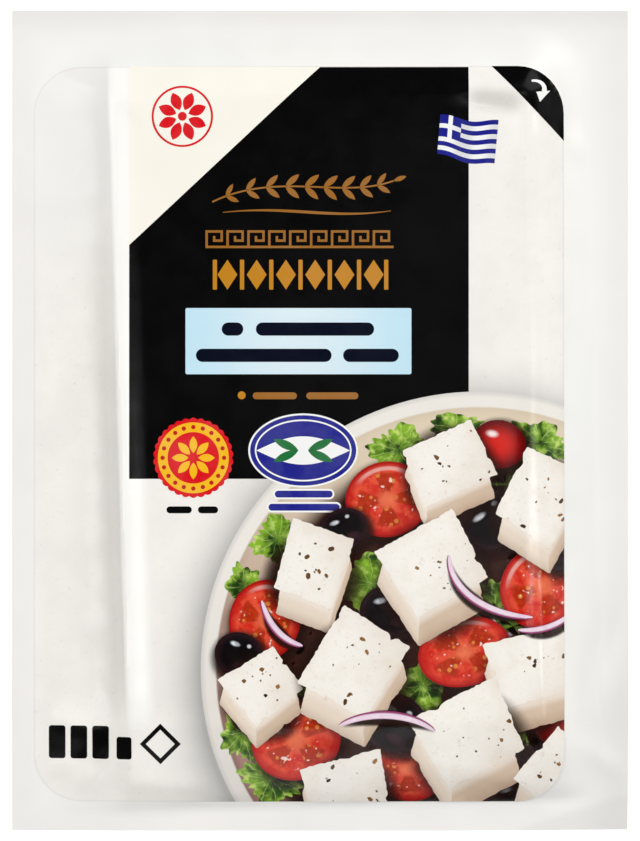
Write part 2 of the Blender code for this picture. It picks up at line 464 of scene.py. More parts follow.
def past_rounded(u, v, width, length, corner):
    """Distance outside a rounded rectangle about the origin, negative inside."""
    across = np.abs(u) - (width / 2 - corner)
    along = np.abs(v) - (length / 2 - corner)
    outside = np.hypot(np.maximum(across, 0.0), np.maximum(along, 0.0))
    return outside + np.minimum(np.maximum(across, along), 0.0) - corner


def slope(share, bend, fall):
    """Height share of a film at a share of its way down: 1 at the start, 0 at the end."""
    share = np.clip(share, 0.0, 1.0)
    return (1.0 - share**bend) ** fall


def even_slope(share):
    """A film that falls evenly, with soft bends at both ends."""
    share = np.clip(share, 0.0, 1.0)
    return 1.0 - share + 0.075 * np.sin(math.tau * share)


def steep_slope(share, steep):
    """A film that is drawn down sharply beside an edge and then falls gently."""
    rest = 1.0 - np.clip(share, 0.0, 1.0)
    return rest**1.3 * (1.0 - steep + steep * rest**5)


def steep_part(v):
    """Steepness along the left side: weaker towards the top and past the brick's ends."""
    fade = 1.0 - STEEP_FADE * ease(v / STEEP_FADE_RUN)
    ends = ease((BRICK_LENGTH / 2 + STEEP_PAST - np.abs(v)) / STEEP_END)
    return STEEP_PART * fade * (STEEP_REST + (1.0 - STEEP_REST) * ends)


def plump_slope(share):
    """A film over a full pocket, which falls mostly at its far edge."""
    share = np.clip(share, 0.0, 1.0)
    return (1.0 - EVEN_PART * share - (1.0 - EVEN_PART) * share**3) * (1.0 - 0.3 * share**10)


FRONT_SLOPES = {
    "right": even_slope,
    "bottom": plump_slope,
    "top": even_slope,
}


def wave(x, y, lengths, start):
    """A slow wave between -1 and 1."""
    across = math.tau * x / lengths[0] + start[0]
    along = math.tau * y / lengths[1] + start[1]
    return np.cos(across) * np.sin(along)


def ripple(x, y, shortest, longest, seed, count=7):
    """Uneven ripples between about -1 and 1, of several directions and lengths."""
    draw = random.Random(seed)
    total = 0.0
    for _ in range(count):
        turn, start = draw.uniform(0, math.tau), draw.uniform(0, math.tau)
        length = draw.uniform(shortest, longest)
        total = total + np.sin(math.tau * (x * math.cos(turn) + y * math.sin(turn)) / length + start)
    return total / math.sqrt(count)


def inside_pocket(x, y):
    """0 on and outside the pocket's outline, rising to 1 inside it."""
    middle = [(low + high) / 2 for low, high in zip(POCKET_LOW, POCKET_HIGH)]
    size = [high - low for low, high in zip(POCKET_LOW, POCKET_HIGH)]
    past = past_rounded(x - middle[0], y - middle[1], size[0], size[1], POCKET_CORNER)
    return ease(-past / PLUMP_EDGE)


def seal_level(x, y):
    """Height of the flat seal, with its slow waves and drooping corners."""
    level = SEAL_HEIGHT + SEAL_WAVE * wave(x, y, SEAL_WAVE_LENGTHS, SEAL_WAVE_START)
    for side_x, side_y, drop in DROOPING_CORNERS:
        away = np.hypot(x - side_x * PACK_WIDTH / 2, y - side_y * PACK_LENGTH / 2)
        level = level - drop * ease(1.0 - away / DROOP_REACH)
    return level + TOP_EDGE_LIFT * ease((y - PACK_LENGTH / 2) / TOP_EDGE_REACH + 1.0)


def creases(x, y, rows):
    """Soft folds along short lines, given in millimetres."""
    total = 0.0
    for start, end, height, width in rows:
        away_x, away_y = x - start[0] * MM, y - start[1] * MM
        run_x, run_y = (end[0] - start[0]) * MM, (end[1] - start[1]) * MM
        share = (away_x * run_x + away_y * run_y) / (run_x**2 + run_y**2)
        share = np.clip(share, 0.0, 1.0)
        away = np.hypot(away_x - share * run_x, away_y - share * run_y)
        fade = 0.3 + 0.7 * np.sin(math.pi * share)
        total = total + height * MM * fade * np.exp(-((away / (width * MM)) ** 2))
    return total


def turned_down(x, y):
    """How far the turned corner lies below the flat film."""
    (start_x, start_y), (end_x, end_y), pitch = TURNED_CORNER
    run = math.hypot(end_x - start_x, end_y - start_y)
    past = (x - start_x * MM) * (end_y - start_y) / run - (y - start_y * MM) * (end_x - start_x) / run
    return pitch * np.maximum(past, 0.0)


def front_share(x, y):
    """How high the front film lies between the seal, 0, and the brick's face, 1."""
    u, v = to_brick(x, y)
    past = {
        "left": -u - BRICK_WIDTH / 2,
        "right": u - BRICK_WIDTH / 2,
        "bottom": -v - BRICK_LENGTH / 2,
        "top": v - BRICK_LENGTH / 2,
    }
    way = {}
    for side, distance in past.items():
        reach, lead = FRONT_SIDES[side]
        way[side] = (distance + lead) / (reach + lead)
    share = steep_slope(way["left"], steep_part(v))
    for side, side_slope in FRONT_SLOPES.items():
        share = share * side_slope(way[side])
    return share


def left_lip(u, v):
    """The low lip along the brick's left edge, which slopes back to the face."""
    inside = u + BRICK_WIDTH / 2
    ends = ease((BRICK_LENGTH / 2 + LIP_PAST - np.abs(v)) / LIP_END)
    return LIP_HEIGHT * (1.0 - ease(inside / LIP_WIDTH)) * ends


def front_height(x, y):
    """Outer side of the front film."""
    u, v = to_brick(x, y)
    share = front_share(x, y)
    seal = seal_level(x, y)
    plump = PLUMPNESS * inside_pocket(x, y) * (1.0 - share)
    face = PACK_HEIGHT - FRONT_FILM
    face = face - FACE_WAVE * (1.0 + wave(u, v, FACE_WAVE_LENGTHS, FACE_WAVE_START))
    wall = 4.0 * share * (1.0 - share)
    uneven = FLAT_RIPPLE[0] * ripple(x, y, FLAT_RIPPLE[1], FLAT_RIPPLE[2], seed=3) * (1.0 - 0.7 * share)
    uneven = uneven + WALL_RIPPLE[0] * wall * ripple(x, y, WALL_RIPPLE[1], WALL_RIPPLE[2], seed=8)
    folds = creases(x, y, FRONT_CREASES) * (1.0 - share) + left_lip(u, v) * share
    folds = folds + creases(x, y, FACE_DENTS) - turned_down(x, y)
    return seal + plump + (face - seal) * share + uneven + folds + FRONT_FILM


def back_height(x, y):
    """Outer side of the back film, which is flat where the pack rests."""
    past = past_rounded(*to_brick(x, y), BRICK_WIDTH, BRICK_LENGTH, BRICK_CORNER)
    share = slope((past + BACK_LEAD) / (BACK_REACH + BACK_LEAD), BACK_EASE, BACK_FALL)
    seal = seal_level(x, y) - FILM_GAP - BACK_FILM
    plump = PLUMPNESS * inside_pocket(x, y) * (1.0 - share)
    free = 1.0 - share
    wall = 4.0 * share * free
    uneven = FLAT_RIPPLE[0] * free * ripple(x, y, FLAT_RIPPLE[1], FLAT_RIPPLE[2], seed=5)
    uneven = uneven + WALL_RIPPLE[0] * wall * ripple(x, y, WALL_RIPPLE[1], WALL_RIPPLE[2], seed=6)
    folds = creases(x, y, BACK_CREASES) * free * inside_pocket(x, y)
    level = np.minimum((seal - plump + uneven + folds) * free, front_height(x, y) - FLANGE)
    return np.maximum(level, 0.0)


LINES_X = np.linspace(-PACK_WIDTH / 2, PACK_WIDTH / 2, COLUMNS + 1)
LINES_Y = np.linspace(-PACK_LENGTH / 2, PACK_LENGTH / 2, ROWS + 1)
FRONT_LEVELS = front_height(*np.meshgrid(LINES_X, LINES_Y))


def height_on_facets(x, y):
    """Height of the front film's facets, each cell of which is cut by a rising diagonal."""
    across = np.clip((x - LINES_X[0]) / FACET_X, 0.0, COLUMNS - 1e-6)
    along = np.clip((y - LINES_Y[0]) / FACET_Y, 0.0, ROWS - 1e-6)
    column, row = across.astype(int), along.astype(int)
    s, t = across - column, along - row
    low_left, low_right = FRONT_LEVELS[row, column], FRONT_LEVELS[row, column + 1]
    high_left, high_right = FRONT_LEVELS[row + 1, column], FRONT_LEVELS[row + 1, column + 1]
    below = low_left + (low_right - low_left) * s + (high_right - low_right) * t
    above = low_left + (high_right - high_left) * s + (high_left - low_left) * t
    return np.where(s >= t, below, above)


# Flat shapes, which are cut to the film's facets and then laid on them.


def new_shapes():
    """An empty mesh with the layers that the inks read."""
    mesh = bmesh.new()
    mesh.loops.layers.uv.new("place")
    mesh.loops.layers.float.new("tone")
    mesh.verts.layers.float.new("layer")
    return mesh


def all_of(mesh):
    return mesh.verts[:] + mesh.edges[:] + mesh.faces[:]


def cut_by(mesh, geom, point, normal, clear=False):
    """Cuts flat shapes by an upright plane, and clears what lies before it if asked to."""
    result = bmesh.ops.bisect_plane(
        mesh,
        geom=geom,
        dist=1e-7,
        plane_co=(point[0], point[1], 0.0),
        plane_no=(normal[0], normal[1], 0.0),
        clear_outer=clear,
    )
    return result["geom"]


def cut_to_facets(mesh):
    """Cuts flat shapes along the film's columns, rows and diagonals."""
    across = [(vert.co.x - LINES_X[0]) / FACET_X for vert in mesh.verts]
    along = [(vert.co.y - LINES_Y[0]) / FACET_Y for vert in mesh.verts]
    rising = [a - b for a, b in zip(across, along)]
    families = ((across, (1, 0), FACET_X, 0.0), (along, (0, 1), 0.0, FACET_Y))
    families += ((rising, (FACET_Y, -FACET_X), FACET_X, 0.0),)
    for steps, normal, step_x, step_y in families:
        for line in range(math.floor(min(steps)) + 1, math.ceil(max(steps))):
            point = (LINES_X[0] + line * step_x, LINES_Y[0] + line * step_y)
            cut_by(mesh, all_of(mesh), point, normal)


def mark(mesh, faces, layer, tone, place):
    """Stores a shape's layer of ink, its tone and its own axes on its faces."""
    uv, tones = mesh.loops.layers.uv["place"], mesh.loops.layers.float["tone"]
    layers = mesh.verts.layers.float["layer"]
    origin, axis_u, axis_v = place
    into = Matrix((axis_u, axis_v)).transposed().inverted()
    for face in faces:
        for loop in face.loops:
            loop[uv].uv = into @ (loop.vert.co.xy - Vector(origin))
            loop[tones] = tone
            loop.vert[layers] = layer


def round_place(middle, radii, turn):
    """Own axes of a round shape, in which its edge is at a distance of 1."""
    cos, sin = math.cos(turn), math.sin(turn)
    axes = ((radii[0] * cos * MM, radii[0] * sin * MM), (-radii[1] * sin * MM, radii[1] * cos * MM))
    return ((middle[0] * MM, middle[1] * MM), *axes)


PLAIN_PLACE = ((0.0, 0.0), (MM, 0.0), (0.0, MM))


def fill(mesh, outlines, layer, tone=0.0, place=PLAIN_PLACE):
    """Adds the filled shape of closed outlines, in millimetres; one inside another is a hole."""
    shape = new_shapes()
    edges = []
    for outline in outlines:
        ring = [shape.verts.new((x * MM, y * MM, 0.0)) for x, y in outline]
        edges += [shape.edges.new(pair) for pair in zip(ring, ring[1:] + ring[:1])]
    bmesh.ops.triangle_fill(
        shape, use_beauty=True, use_dissolve=False, edges=edges, normal=(0.0, 0.0, 1.0)
    )
    mark(shape, shape.faces, layer, tone, place)
    cut_to_facets(shape)
    join(mesh, shape)


SHARES = ((0.0, 0.0), (1.0, 0.0), (0.0, 1.0))
FROM_MIDDLE = ((0.5, 0.5), (0.5, 0.0), (0.0, 0.5))


def bend(mesh, columns, rows, path, layer, tone=0.0, place=SHARES):
    """Adds a bent grid: path takes shares along and across, 0 to 1, to a place in millimetres."""
    shape = new_shapes()
    bmesh.ops.create_grid(shape, x_segments=columns, y_segments=rows, size=0.5)
    for vert in shape.verts:
        vert.co.xy = (vert.co.x + 0.5, vert.co.y + 0.5)
    mark(shape, shape.faces, layer, tone, place)
    for vert in shape.verts:
        x, y = path(vert.co.x, vert.co.y)
        vert.co.xy = (x * MM, y * MM)
    bmesh.ops.triangulate(shape, faces=shape.faces[:])
    cut_to_facets(shape)
    join(mesh, shape)


def join(mesh, other):
    """Moves the shapes of one mesh into another."""
    data = bpy.data.meshes.new("joined")
    other.to_mesh(data)
    other.free()
    mesh.from_mesh(data)
    bpy.data.meshes.remove(data)


def facets_over(low, high, layer):
    """The film's own facets over a box in millimetres, as flat shapes."""
    mesh = new_shapes()
    first, cells = [], []
    for axis, (lines, facet) in enumerate(((LINES_X, FACET_X), (LINES_Y, FACET_Y))):
        first.append(int((low[axis] * MM - lines[0]) / facet))
        last = min(len(lines) - 1, math.ceil((high[axis] * MM - lines[0]) / facet))
        cells.append(last - first[axis])
    bmesh.ops.create_grid(mesh, x_segments=cells[0], y_segments=cells[1], size=0.5)
    layers = mesh.verts.layers.float["layer"]
    for vert in mesh.verts:
        column = first[0] + round((vert.co.x + 0.5) * cells[0])
        row = first[1] + round((vert.co.y + 0.5) * cells[1])
        vert.co = (LINES_X[column], LINES_Y[row], 0.0)
        vert[layers] = layer
    bmesh.ops.triangulate(mesh, faces=mesh.faces[:], quad_method="FIXED")
    return mesh


def keep_within(mesh, outline):
    """Clears what lies outside a convex outline, given anticlockwise in millimetres."""
    for (x0, y0), (x1, y1) in zip(outline, outline[1:] + outline[:1]):
        cut_by(mesh, all_of(mesh), (x0 * MM, y0 * MM), (y1 - y0, x0 - x1), clear=True)


def corner_trim():
    """The print's outline with only its right and lower sides, which cut the picture."""
    corner = print_outline()[-CORNER_STEPS - 1 :]
    return [(-FAR, PRINT_LOW[1]), *corner, (PRINT_HIGH[0], FAR), (-FAR, FAR)]


def keep_round(mesh, middle, radius, planes=150):
    """Clears what lies outside a circle, given in millimetres."""
    centre = Vector((middle[0] * MM, middle[1] * MM))
    away = {vert: (vert.co.xy - centre).length for vert in mesh.verts}
    outside = [face for face in mesh.faces if min(away[vert] for vert in face.verts) > radius * MM]
    bmesh.ops.delete(mesh, geom=outside, context="FACES")
    near = 0.995 * radius * MM
    ring = [face for face in mesh.faces if max(away[vert] for vert in face.verts) > near]
    geom = list({edge for face in ring for edge in face.edges})
    geom += list({vert for face in ring for vert in face.verts}) + ring
    for plane in range(planes):
        turn = math.tau * plane / planes
        way = Vector((math.cos(turn), math.sin(turn)))
        geom = cut_by(mesh, geom, centre + radius * MM * way, way, clear=True)
        geom = [item for item in geom if item.is_valid]


def lay_on_film(mesh):
    """Lays flat shapes on the film, each on its own layer, and gives them a thickness."""
    layers = mesh.verts.layers.float["layer"]
    places = np.array([vert.co[:2] for vert in mesh.verts])
    for vert, level in zip(mesh.verts, height_on_facets(places[:, 0], places[:, 1])):
        vert.co.z = level + INK_STEP * vert[layers]
    under = mesh.verts[:]
    bmesh.ops.extrude_face_region(mesh, geom=mesh.faces[:])
    bmesh.ops.translate(mesh, vec=(0.0, 0.0, -INK_THICKNESS), verts=under)
    bmesh.ops.recalc_face_normals(mesh, faces=mesh.faces)


def add_piece(name, mesh, material):
    """Makes the piece's object and lets it ride on the pack."""
    data = bpy.data.meshes.new(name)
    mesh.to_mesh(data)
    mesh.free()
    data.materials.append(material)
    data.shade_smooth()
    data.set_sharp_from_angle(angle=SHARP_ANGLE)
    piece = bpy.data.objects.new(name, data)
    bpy.context.scene.collection.objects.link(piece)
    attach(piece, "root")
    return piece


def add_print(name, mesh, material):
    """Lays shapes on the front film as one piece."""
    lay_on_film(mesh)
    return add_piece(name, mesh, material)


# Outlines, in millimetres.


def rounded(low, high, corner, steps=CORNER_STEPS):
    """A rounded rectangle, anticlockwise."""
    points = []
    corners = ((high[0], high[1]), (low[0], high[1]), (low[0], low[1]), (high[0], low[1]))
    for quarter, (x, y) in enumerate(corners):
        middle_x = x - corner if quarter in (0, 3) else x + corner
        middle_y = y - corner if quarter in (0, 1) else y + corner
        for step in range(steps + 1):
            turn = math.pi / 2 * (quarter + step / steps)
            points.append((middle_x + corner * math.cos(turn), middle_y + corner * math.sin(turn)))
    return points


def oval(middle, radii, steps=48, turn=0.0, uneven=0.0, seed=0):
    """An oval, whose radius may be uneven."""
    draw = random.Random(seed)
    points = []
    for step in range(steps):
        angle = math.tau * step / steps
        share = 1.0 + draw.uniform(-uneven, uneven)
        x, y = radii[0] * share * math.cos(angle), radii[1] * share * math.sin(angle)
        points.append(turned((x, y), turn, middle))
    return points


def turned(point, turn, about=(0.0, 0.0)):
    """A point turned by an angle and then moved."""
    cos, sin = math.cos(turn), math.sin(turn)
    return (about[0] + point[0] * cos - point[1] * sin, about[1] + point[0] * sin + point[1] * cos)


def bar(left, right, middle, height):
    """A bar with round ends."""
    half = height / 2
    return rounded((left, middle - half), (right, middle + half), half * 0.98, steps=5)


def stroke(points, width):
    """Outline of a line through points, with mitred corners; the width may vary along it."""
    last = len(points) - 1
    right, left = [], []
    for index, point in enumerate(points):
        before = Vector(point) - Vector(points[index - 1]) if index else None
        after = Vector(points[index + 1]) - Vector(point) if index < last else None
        before, after = (before or after).normalized(), (after or before).normalized()
        mitre = Vector((-before.y - after.y, before.x + after.x)) / (1.0 + before.dot(after))
        here = width(index / last) if callable(width) else width
        left.append(tuple(Vector(point) + mitre * here / 2))
        right.append(tuple(Vector(point) - mitre * here / 2))
    return right + left[::-1]


def smooth_line(knots, steps=24):
    """Points along a smooth curve with two end points and two handles."""
    points = interpolate_bezier(*(Vector((*knot, 0.0)) for knot in knots), steps)
    return [(point.x, point.y) for point in points]


def leaf(foot, length, width, turn, steps=7):
    """A pointed leaf that grows from its foot."""
    shares = [step / steps for step in range(steps + 1)]
    over = [(length * share, width / 2 * math.sin(math.pi * share) ** 0.8) for share in shares[1:-1]]
    outline = [(0.0, 0.0), *((x, -y) for x, y in over), (length, 0.0), *reversed(over)]
    return [turned(point, turn, foot) for point in outline]


def frilled(middle, radii, turn, seed, steps=110):
    """A leaf with a curly edge."""
    draw = random.Random(seed)
    lobes, start = draw.choice((3, 4, 5)), draw.uniform(0, math.tau)
    frills = draw.choice((13, 15, 17))
    points = []
    for step in range(steps):
        angle = math.tau * step / steps
        swell = 1.0 + 0.6 * math.sin(2 * angle + start)
        reach = 0.86 + 0.13 * math.sin(lobes * angle + start)
        reach += 0.07 * swell * math.sin(frills * angle + 1.5 * math.sin(3 * angle))
        place = (radii[0] * reach * math.cos(angle), radii[1] * reach * math.sin(angle))
        points.append(turned(place, turn, middle))
    return points


def crumbled(corners, amount, seed, step=0.6):
    """An outline through corners, anticlockwise, with worn corners, ragged edges and chips."""
    draw = random.Random(seed)
    points = []
    for first, second in zip(corners, corners[1:] + corners[:1]):
        run = Vector(second) - Vector(first)
        count = max(2, round(run.length / step))
        across = Vector((-run.y, run.x)).normalized()
        chip, reach = draw.uniform(0.15, 0.85), draw.uniform(0.05, 0.11)
        deep = amount * draw.choice((0.0, 1.2, 2.2, 3.2))
        for index in range(count):
            share = (index + 0.5) / count
            chipped = deep * max(0.0, 1.0 - abs(share - chip) / reach)
            depth = chipped + draw.uniform(0.0, amount)
            points.append(tuple(Vector(first) + run * share + across * depth))
    return points


def arc_band(middle, radii, start, end, width):
    """A path along an oval arc, which narrows at its ends."""

    def path(along, across):
        turn = math.radians(start + (end - start) * along)
        reach = width * (across - 0.5) * max(0.25, math.sin(math.pi * along) ** 0.28)
        return (
            middle[0] + (radii[0] + reach) * math.cos(turn),
            middle[1] + (radii[1] + reach) * math.sin(turn),
        )

    return path


# Materials. Every ink and both films share the film's gloss.


def add_node(tree, kind, settings=None, inputs=None):
    """A node with its settings, and with its inputs' values or the sockets that feed them."""
    made = tree.nodes.new(kind)
    for name, value in (settings or {}).items():
        setattr(made, name, value)
    for name, value in (inputs or {}).items():
        if isinstance(value, bpy.types.NodeSocket):
            tree.links.new(value, made.inputs[name])
        else:
            made.inputs[name].default_value = value
    return made


def maths(tree, operation, first, second=0.0, clamp=False):
    made = add_node(
        tree, "ShaderNodeMath", {"operation": operation, "use_clamp": clamp}, {0: first, 1: second}
    )
    return made.outputs[0]


def plus(tree, first, second, clamp=False):
    return maths(tree, "ADD", first, second, clamp)


def minus(tree, first, second, clamp=False):
    return maths(tree, "SUBTRACT", first, second, clamp)


def times(tree, first, second):
    return maths(tree, "MULTIPLY", first, second)


def remap(tree, value, low, high, to_low=0.0, to_high=1.0):
    """Eases a value from one range to another."""
    inputs = {"Value": value, "From Min": low, "From Max": high, "To Min": to_low, "To Max": to_high}
    return add_node(
        tree, "ShaderNodeMapRange", {"interpolation_type": "SMOOTHSTEP"}, inputs
    ).outputs["Result"]


def mix(tree, factor, first, second, blend="MIX"):
    """Mixes two colours, each a socket or a linear colour."""
    first, second = (
        value if isinstance(value, bpy.types.NodeSocket) else (*value[:3], 1.0)
        for value in (first, second)
    )
    made = add_node(
        tree,
        "ShaderNodeMix",
        {"data_type": "RGBA", "blend_type": blend},
        {"Factor": factor, 6: first, 7: second},
    )
    return made.outputs[2]


def noise(tree, place, size, detail=3.0, roughness=0.55):
    """Soft noise between 0 and 1, with features of about the given size."""
    inputs = {"Vector": place, "Scale": 1.0 / size, "Detail": detail, "Roughness": roughness}
    return add_node(tree, "ShaderNodeTexNoise", None, inputs).outputs["Fac"]


def object_place(tree):
    return add_node(tree, "ShaderNodeTexCoord").outputs["Object"]


def axes_of(tree, place):
    """A place's lengths across and along."""
    split = add_node(tree, "ShaderNodeSeparateXYZ", None, {"Vector": place})
    return split.outputs["X"], split.outputs["Y"]


def own_place(tree):
    """A shape's own axes, as u and v."""
    return axes_of(tree, add_node(tree, "ShaderNodeUVMap", {"uv_map": "place"}).outputs["UV"])


def tone_of(tree):
    return add_node(tree, "ShaderNodeAttribute", {"attribute_name": "tone"}).outputs["Fac"]


def distance_from(tree, u, v, at_u=0.0, at_v=0.0, stretch_v=1.0):
    """Distance from a point in a shape's own axes."""
    across = minus(tree, u, at_u)
    along = times(tree, minus(tree, v, at_v), stretch_v)
    square = plus(tree, maths(tree, "POWER", across, 2.0), maths(tree, "POWER", along, 2.0))
    return maths(tree, "SQRT", square)


def gloss_group():
    """The film's gloss: a soft mottle of the colour, an uneven roughness and a fine grain."""
    found = bpy.data.node_groups.get("film gloss")
    if found:
        return found
    tree = bpy.data.node_groups.new("film gloss", "ShaderNodeTree")
    tree.interface.new_socket("Vector", in_out="INPUT", socket_type="NodeSocketVector")
    tree.interface.new_socket("Mean Roughness", in_out="INPUT", socket_type="NodeSocketFloat")
    given = tree.nodes.new("NodeGroupInput").outputs
    place = given["Vector"]
    clouds = noise(tree, place, 14 * MM, detail=2.0)
    smears = noise(tree, place, 5 * MM, detail=3.0)
    grain = noise(tree, place, 0.9 * MM, detail=3.0, roughness=0.6)
    dimples = noise(tree, place, 3.2 * MM, detail=1.0)
    spread = remap(tree, smears, 0.3, 0.7, -0.05, 0.06)
    results = {
        "Mottle": remap(tree, clouds, 0.2, 0.8, 0.975, 1.0),
        "Roughness": plus(tree, given["Mean Roughness"], spread, clamp=True),
        "Height": plus(tree, times(tree, grain, 0.35), dimples),
    }
    output = tree.nodes.new("NodeGroupOutput")
    for name, value in results.items():
        tree.interface.new_socket(name, in_out="OUTPUT", socket_type="NodeSocketFloat")
        tree.links.new(value, output.inputs[name])
    return tree


def make_ink(name, paint, alpha=None, shine=INK_SHINE, roughness=INK_ROUGHNESS):
    """A material under the film's gloss; paint gives its colour from its nodes."""
    material = bpy.data.materials.new(name)
    material.use_nodes = True
    tree = material.node_tree
    shader = tree.nodes["Principled BSDF"]
    place = object_place(tree)
    inputs = {"Vector": place, "Mean Roughness": roughness}
    gloss = add_node(tree, "ShaderNodeGroup", {"node_tree": gloss_group()}, inputs).outputs
    colour = mix(tree, 1.0, paint(tree, place), gloss["Mottle"], blend="MULTIPLY")
    grain = bpy.context.scene.pack_film.grain
    inputs = {"Height": gloss["Height"], "Distance": grain, "Strength": 1.0}
    bump = add_node(tree, "ShaderNodeBump", None, inputs)
    tree.links.new(colour, shader.inputs["Base Color"])
    tree.links.new(gloss["Roughness"], shader.inputs["Roughness"])
    tree.links.new(bump.outputs["Normal"], shader.inputs["Normal"])
    shader.inputs["IOR"].default_value = FILM_IOR
    shader.inputs["Specular IOR Level"].default_value = shine
    if alpha:
        tree.links.new(alpha(tree), shader.inputs["Alpha"])
    return material


def film_paint(tree, place):
    """White film with warmer and cooler patches, greyer towards its edges, and painted shade."""
    film = bpy.context.scene.pack_film
    patches = remap(tree, noise(tree, place, 26 * MM, detail=1.0), 0.25, 0.75)
    colour = mix(tree, patches, film.white, film.cool)
    x, y = axes_of(tree, place)
    inside = [
        minus(tree, half, maths(tree, "ABSOLUTE", way))
        for way, half in ((x, PACK_WIDTH / 2), (y, PACK_LENGTH / 2))
    ]
    edge = remap(tree, maths(tree, "MINIMUM", *inside), 0.0, SEAL_SHADE_REACH, SEAL_SHADE, 0.0)
    colour = mix(tree, edge, colour, film.seal)
    # Painted shade: darker at the top edge, and at the right edge, more so low down.
    top = remap(tree, y, *TOP_SHADE_RANGE, 0.0, TOP_SHADE)
    low = remap(tree, y, *LOW_SHADE_RANGE, LOW_SHADE, RIGHT_SHADE)
    right = times(tree, remap(tree, x, *RIGHT_SHADE_RANGE), low)
    return mix(tree, plus(tree, top, right), colour, shade(190, 187, 184))


def stone_paint(tree, place):
    """Pale stone: clouds, tiny specks, painted shade and highlight of the relief, the dish's shadow on
    it.
    """
    inks = bpy.context.scene.pack_print
    clouds = remap(tree, noise(tree, place, 9 * MM, detail=6.0, roughness=0.62), 0.38, 0.68)
    colour = mix(tree, times(tree, clouds, 0.45), inks.stone, inks.stone_vein)
    fine = remap(tree, noise(tree, place, 1.1 * MM, detail=4.0, roughness=0.7), 0.60, 0.76)
    colour = mix(tree, times(tree, fine, 0.30), colour, shade(186, 183, 178))
    x, y = axes_of(tree, place)
    from_left = minus(tree, x, POCKET_LOW[0])
    rise = minus(tree, y, times(tree, from_left, 0.8))
    soft = times(tree, noise(tree, place, 12 * MM), 24 * MM)
    cool = remap(tree, plus(tree, rise, soft), 18 * MM, 62 * MM, 0.0, 0.85)
    colour = mix(tree, cool, colour, inks.stone_cool)
    along = times(tree, y, math.tan(BRICK_TURN))
    from_edge = minus(tree, x, BRICK_MIDDLE[0] - BRICK_WIDTH / 2)
    ridge = plus(tree, from_edge, along)
    # Painted shade on the stone just outside the brick's left edge, weaker towards the top and gone at
    # the bottom end.
    beside = remap(tree, ridge, -6.5 * MM, -1.6 * MM)
    beside = times(tree, beside, remap(tree, ridge, -1.2 * MM, -0.4 * MM, 1.0, 0.0))
    ends = remap(tree, y, 6 * MM, 46 * MM, RIDGE_SHADE, 0.0)
    ends = times(tree, ends, remap(tree, y, -58 * MM, -48 * MM))
    colour = mix(tree, times(tree, beside, ends), colour, shade(150, 150, 142))
    # Painted shade in the dent at the upper right.
    dent = remap(tree, distance_from_line(tree, place, *DENT_SHADE_LINE), 0.2 * MM, 3.4 * MM, 0.26, 0.0)
    colour = mix(tree, dent, colour, shade(140, 138, 126))
    # Painted highlight in a band just inside the brick's left edge, gone at the bottom end.
    pale = remap(tree, ridge, 2.2 * MM, 5.2 * MM, 0.9, 0.0)
    pale = times(tree, pale, remap(tree, ridge, -1.2 * MM, -0.3 * MM))
    pale = times(tree, pale, remap(tree, y, -62 * MM, -54 * MM))
    colour = mix(tree, pale, colour, shade(255, 254, 249))
    rim = remap(tree, past_pocket(tree, place), -0.45 * MM, -0.05 * MM, 0.0, EDGE_SHADE)
    colour = mix(tree, rim, colour, shade(190, 188, 184))
    radius = bpy.context.scene.pack_picture.dish_radius
    u, v = from_dish(tree, place, shift=(-1.2 * MM, -1.5 * MM))
    away = distance_from(tree, u, v)
    reach = maths(tree, "DIVIDE", minus(tree, away, radius - 1.0 * MM), 11.0 * MM)
    near = minus(tree, 1.0, reach, clamp=True)
    shadow = times(tree, maths(tree, "POWER", near, 2.4), 0.66)
    return mix(tree, shadow, colour, shade(128, 127, 127))


def distance_from_line(tree, place, start, end):
    """Distance from a short line, given in millimetres."""
    x, y = (minus(tree, way, at * MM) for way, at in zip(axes_of(tree, place), start))
    run = [(b - a) * MM for a, b in zip(start, end)]
    square = run[0] ** 2 + run[1] ** 2
    share = times(tree, x, run[0] / square)
    share = plus(tree, share, times(tree, y, run[1] / square), clamp=True)
    x = minus(tree, x, times(tree, share, run[0]))
    y = minus(tree, y, times(tree, share, run[1]))
    return distance_from(tree, x, y)


def past_pocket(tree, place):
    """Distance outside the print's rounded outline, negative inside."""
    past = []
    for way, low, high in zip(axes_of(tree, place), POCKET_LOW, POCKET_HIGH):
        from_middle = minus(tree, way, (low + high) / 2)
        half = (high - low) / 2 - POCKET_CORNER
        past.append(minus(tree, maths(tree, "ABSOLUTE", from_middle), half))
    outside = distance_from(tree, *(maths(tree, "MAXIMUM", value, 0.0) for value in past))
    inside = maths(tree, "MINIMUM", maths(tree, "MAXIMUM", *past), 0.0)
    return minus(tree, plus(tree, outside, inside), POCKET_CORNER)


def from_dish(tree, place, shift=(0.0, 0.0)):
    """A place as lengths across and along from the dish's middle."""
    x, y = axes_of(tree, place)
    across = minus(tree, x, DISH_MIDDLE[0] * MM + shift[0])
    return across, minus(tree, y, DISH_MIDDLE[1] * MM + shift[1])


